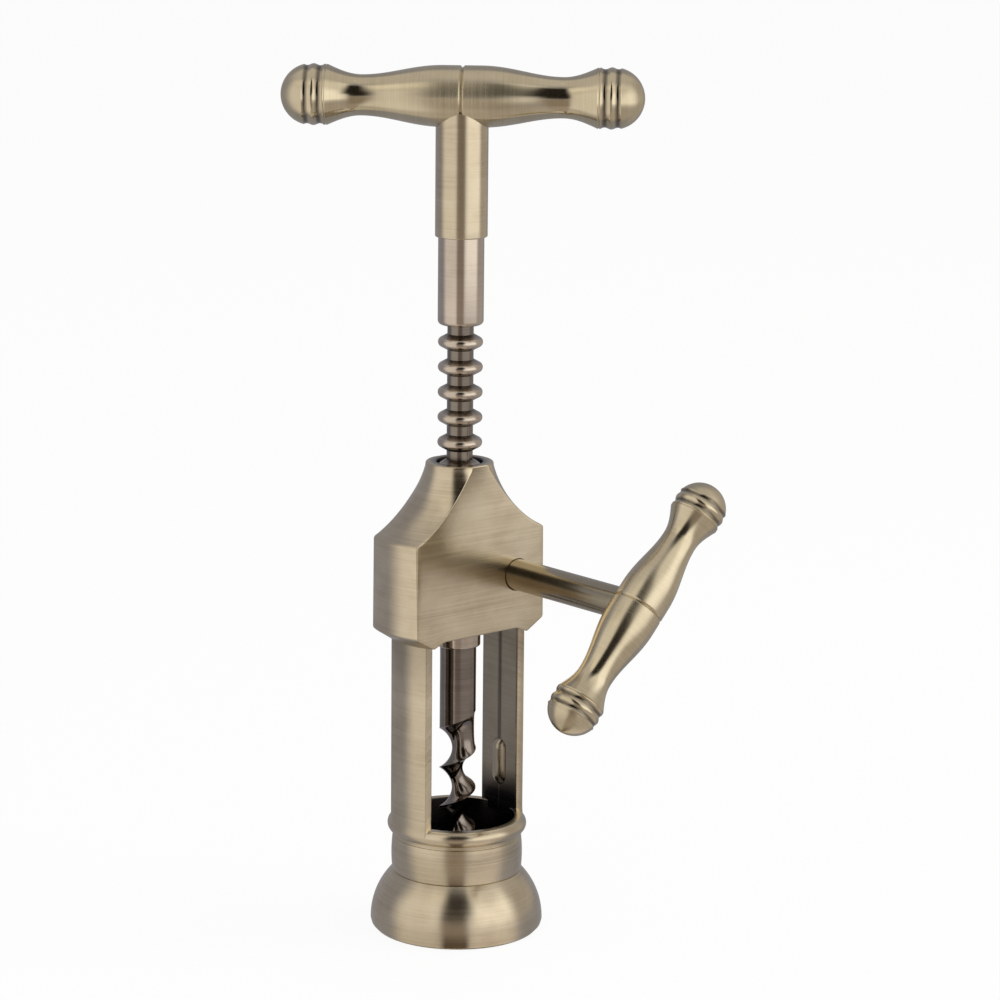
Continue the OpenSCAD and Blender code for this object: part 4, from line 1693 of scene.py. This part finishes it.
@dataclass(frozen=True)
class Card:
    """A flat card or dark opening that the metal mirrors, seen from the object.

    Turns are degrees from the camera's side, positive to its right. Lifts are degrees above level. A
    tipped card counts them from that many degrees above the camera's side.
    """

    name: str
    colour: str
    turn: float
    half_width: float
    low: float
    high: float
    soft_turn: float
    soft_lift: float
    tip: float = 0.0

    def share(self, spots: np.ndarray) -> np.ndarray:
        """How much of the card is seen in each direction.

        Args:
            spots: Directions to the camera's right, up and towards the camera, by row.

        Returns:
            Shares from 0 to 1.
        """
        tip = math.radians(self.tip)
        ahead = spots[:, 2] * math.cos(tip) + spots[:, 1] * math.sin(tip)
        upward = spots[:, 1] * math.cos(tip) - spots[:, 2] * math.sin(tip)
        turns = np.degrees(np.arctan2(spots[:, 0], ahead)) - self.turn
        lifts = np.degrees(np.arctan2(upward, np.hypot(spots[:, 0], ahead)))
        across = np.clip((self.half_width - np.abs(turns)) / self.soft_turn + 0.5, 0, 1)
        inside = np.minimum(lifts - self.low, self.high - lifts)
        along = np.clip(inside / self.soft_lift + 0.5, 0, 1)
        return across * across * (3 - 2 * across) * along * along * (3 - 2 * along)


@dataclass
class Studio:
    """Camera, floor, lamps and a tent of cards that the metal mirrors. Its lengths are metres."""

    distance: float = 0.788
    height: float = 0.271
    turn: float = 39.93
    pitch: float = 12.36
    roll: float = 0.437
    lens: float = 131.18
    shift_x: float = 0.0407
    sensor_mm: float = 36.0
    tent_radius: float = 0.62
    tent_height: float = 0.75
    tent_columns: int = 240
    above_floor: float = 0.0004
    middle_z: float = 0.1
    foot_r: float = 0.0185
    glow: float = 1.45
    floor_half: float = 9.0
    floor_z: float = -0.00005
    floor_white: float = 0.92
    floor_colour: str = "#F2F1EF"
    sky_colour: str = "#F4F2EE"
    sky_strength: float = 0.75
    pale: str = "#FFFFFF"
    room: str = "#828288"
    cards: tuple[Card, ...] = (
        Card("left", "#CDC8C2", -54, 36, -40, 34, 32, 20),
        Card("left_high", "#D9D3C8", -54, 36, 34, 62, 32, 24),
        Card("table_left", "#B0AAA1", -52, 36, -95, -40, 32, 24),
        Card("right", "#F8F5F0", 55, 38, -12, 58, 34, 20),
        Card("right_high", "#D3CFC9", 55, 38, 28, 66, 34, 20),
        Card("right_back", "#9C9792", 116, 26, -30, 58, 24, 20),
        Card("table_right", "#A19A95", 56, 40, -56, -12, 34, 20),
        Card("table_near", "#BDB5AE", 50, 38, -95, -56, 34, 16),
        Card("overhead", "#B0ACA8", 0, 46, -22, 22, 20, 16, 94),
        Card("camera_side", "#2B2620", -3, 17, 6, 30, 12, 16),
        Card("opening", "#1E1B18", 3, 22, 16, 62, 18, 14),
        Card("table_edge", "#83786E", -3, 17, -28, 4, 12, 12),
        Card("table_front", "#958A80", -1, 17, -66, -28, 14, 8),
        Card("foot_shade", "#554A40", -1, 17, -95, -66, 10, 12),
    )
    # Name, place and watts of each lamp
    lamps: tuple[tuple[str, tuple[float, float, float], float], ...] = (
        ("key", (0.5, -0.45, 0.9), 4.0),
        ("fill", (-0.8, -0.3, 0.6), 1.6),
    )
    lamp_size: float = 0.6
    lamp_aim: tuple[float, float, float] = (0, 0, 0.09)

    def camera(self) -> None:
        """Make the camera at the photograph's angle."""
        data = bpy.data.cameras.new("camera")
        data.lens, data.sensor_width, data.shift_x = self.lens, self.sensor_mm, self.shift_x
        data.clip_start, data.clip_end = 0.01, 50.0
        turn, pitch, roll = (math.radians(a) for a in (self.turn, self.pitch, self.roll))
        up = Vector((0, 0, 1))
        level = Vector((math.sin(turn), math.cos(turn), 0))
        right = Vector((math.cos(turn), -math.sin(turn), 0))
        ahead = level * math.cos(pitch) - up * math.sin(pitch)
        upright = up * math.cos(pitch) + level * math.sin(pitch)
        x_axis = right * math.cos(roll) + upright * math.sin(roll)
        y_axis = upright * math.cos(roll) - right * math.sin(roll)
        matrix = Matrix((x_axis, y_axis, -ahead)).transposed().to_4x4()
        matrix.translation = up * self.height - level * self.distance
        camera = put("camera", data)
        camera.matrix_world = matrix
        bpy.context.scene.camera = camera

    def tones(self, places: np.ndarray) -> np.ndarray:
        """Light from each place of the tent.

        Args:
            places: Turn in degrees from the camera's side, distance and height in metres, by row.

        Returns:
            Red, green, blue and alpha, by row.
        """
        turns, reach, heights = places.T
        # The bell mirrors the floor at its foot from aside, so turns are stretched there to look straight
        near = np.minimum(self.foot_r / np.maximum(reach, 1e-4), 1)
        stretch = np.where(heights < MM, 2 / (2 - near), 1)
        angles = np.radians(np.clip(turns * stretch, -180, 180))
        rises = heights - self.middle_z
        spots = np.stack([reach * np.sin(angles), rises, reach * np.cos(angles)], 1)
        light = np.tile(np.array(linear(self.room)), (len(places), 1))
        for card in self.cards:
            light = mix(light, np.array(linear(card.colour)), card.share(spots)[:, None])
        return light * (self.glow, self.glow, self.glow, 1.0)

    def tent(self) -> None:
        """Make the tent of cards round the object, which only mirrored light sees."""
        radius, top, low, columns = self.tent_radius, self.tent_height, self.above_floor, self.tent_columns
        outline = [
            *((mix(self.foot_r, radius, t * t), low) for t in steps(24)),
            *((radius, low + top * t) for t in steps(48)[1:]),
            *((radius * (1 - t), top) for t in steps(36)[1:-1]),
        ]
        turns = -180 + 360 * np.arange(columns) / columns
        places = np.array([(turn, reach, height) for reach, height in outline for turn in turns])
        angles = np.radians(-90 - self.turn + places[:, 0])
        reach = places[:, 1]
        points = np.stack([reach * np.cos(angles), reach * np.sin(angles), places[:, 2]], 1)
        faces = []
        for row in range(0, (len(outline) - 1) * columns, columns):
            for here, after in zip(range(columns), [*range(1, columns), 0]):
                faces.append((row + here, row + after, row + columns + after, row + columns + here))
        mesh = bpy.data.meshes.new("cards")
        mesh.from_pydata(points.tolist(), [], faces)
        store(mesh, "tone", "FLOAT_COLOR", self.tones(places))
        tent = put("cards", mesh)
        material = bpy.data.materials.new("card_glow")
        tree = fresh_tree(material)
        tone = add(tree, "ShaderNodeAttribute", {"attribute_name": "tone"}, "Color")
        glow = add(tree, "ShaderNodeEmission", {"Strength": 1.0, "Color": tone})
        add(tree, "ShaderNodeOutputMaterial", {"Surface": glow})
        mesh.materials.append(material)
        tent.visible_camera = False
        tent.visible_diffuse = False
        tent.visible_shadow = False
        tent.visible_transmission = False
        log.info("cards: %s", ", ".join(card.name for card in self.cards))

    def floor(self) -> None:
        """Make the pale floor."""
        mesh = bpy.data.meshes.new("floor")
        size, z = self.floor_half, self.floor_z
        corners = [(-size, -size, z), (size, -size, z), (size, size, z), (-size, size, z)]
        mesh.from_pydata(corners, [], [(0, 1, 2, 3)])
        material = bpy.data.materials.new("floor_pale")
        tree = fresh_tree(material)
        paint = {"Base Color": linear(self.floor_colour), "Roughness": 0.9}
        matte = add(tree, "ShaderNodeBsdfPrincipled", paint)
        white = add(tree, "ShaderNodeEmission", {"Color": linear(self.pale), "Strength": 1.0})
        seen = add(tree, "ShaderNodeLightPath", out="Is Camera Ray")
        most = {"operation": "MULTIPLY", 0: seen, 1: self.floor_white}
        share = add(tree, "ShaderNodeMath", most)
        surface = add(tree, "ShaderNodeMixShader", {0: share, 1: matte, 2: white})
        add(tree, "ShaderNodeOutputMaterial", {"Surface": surface})
        mesh.materials.append(material)
        put("floor", mesh)

    def world(self) -> None:
        """White behind the object for the eye, and plain light elsewhere."""
        world = bpy.data.worlds.new("studio")
        bpy.context.scene.world = world
        tree = fresh_tree(world)
        path = add(tree, "ShaderNodeLightPath").node.outputs
        seen = path["Is Camera Ray"]
        for ray in ("Is Glossy Ray", "Is Transmission Ray"):
            seen = add(tree, "ShaderNodeMath", {"operation": "MAXIMUM", 0: seen, 1: path[ray]})
        plain = {"Color": linear(self.sky_colour), "Strength": self.sky_strength}
        sky = add(tree, "ShaderNodeBackground", plain)
        white = add(tree, "ShaderNodeBackground", {"Color": linear(self.pale), "Strength": 1.0})
        surface = add(tree, "ShaderNodeMixShader", {0: seen, 1: sky, 2: white})
        add(tree, "ShaderNodeOutputWorld", {"Surface": surface})

    def light(self) -> None:
        """Add the soft lamps, which point at the object and aren't mirrored."""
        for name, spot, watts in self.lamps:
            data = bpy.data.lights.new(name, "AREA")
            data.shape = "SQUARE"
            data.size = self.lamp_size
            data.energy = watts
            lamp = put(name, data)
            lamp.location = spot
            lamp.rotation_mode = "QUATERNION"
            lamp.rotation_quaternion = (Vector(spot) - Vector(self.lamp_aim)).to_track_quat("Z", "Y")
            lamp.visible_glossy = False

    def build(self) -> None:
        """Make the whole studio."""
        self.camera()
        self.floor()
        self.tent()
        self.world()
        self.light()
        bpy.context.scene.view_settings.view_transform = "Standard"


def main() -> None:
    """Build the pieces in order, then the studio, and log each piece's faces."""
    logging.basicConfig(level=logging.INFO, format="%(name)s: %(message)s")
    wardrobe = Wardrobe()
    for assembly in (CrossHandle(), SideCrank(), RackSleeve(), Worm(), Head(), Cage(), Base()):
        assembly.build(wardrobe)
    Studio().build()
    log.info("built")


if __name__ == "__main__":
    main()
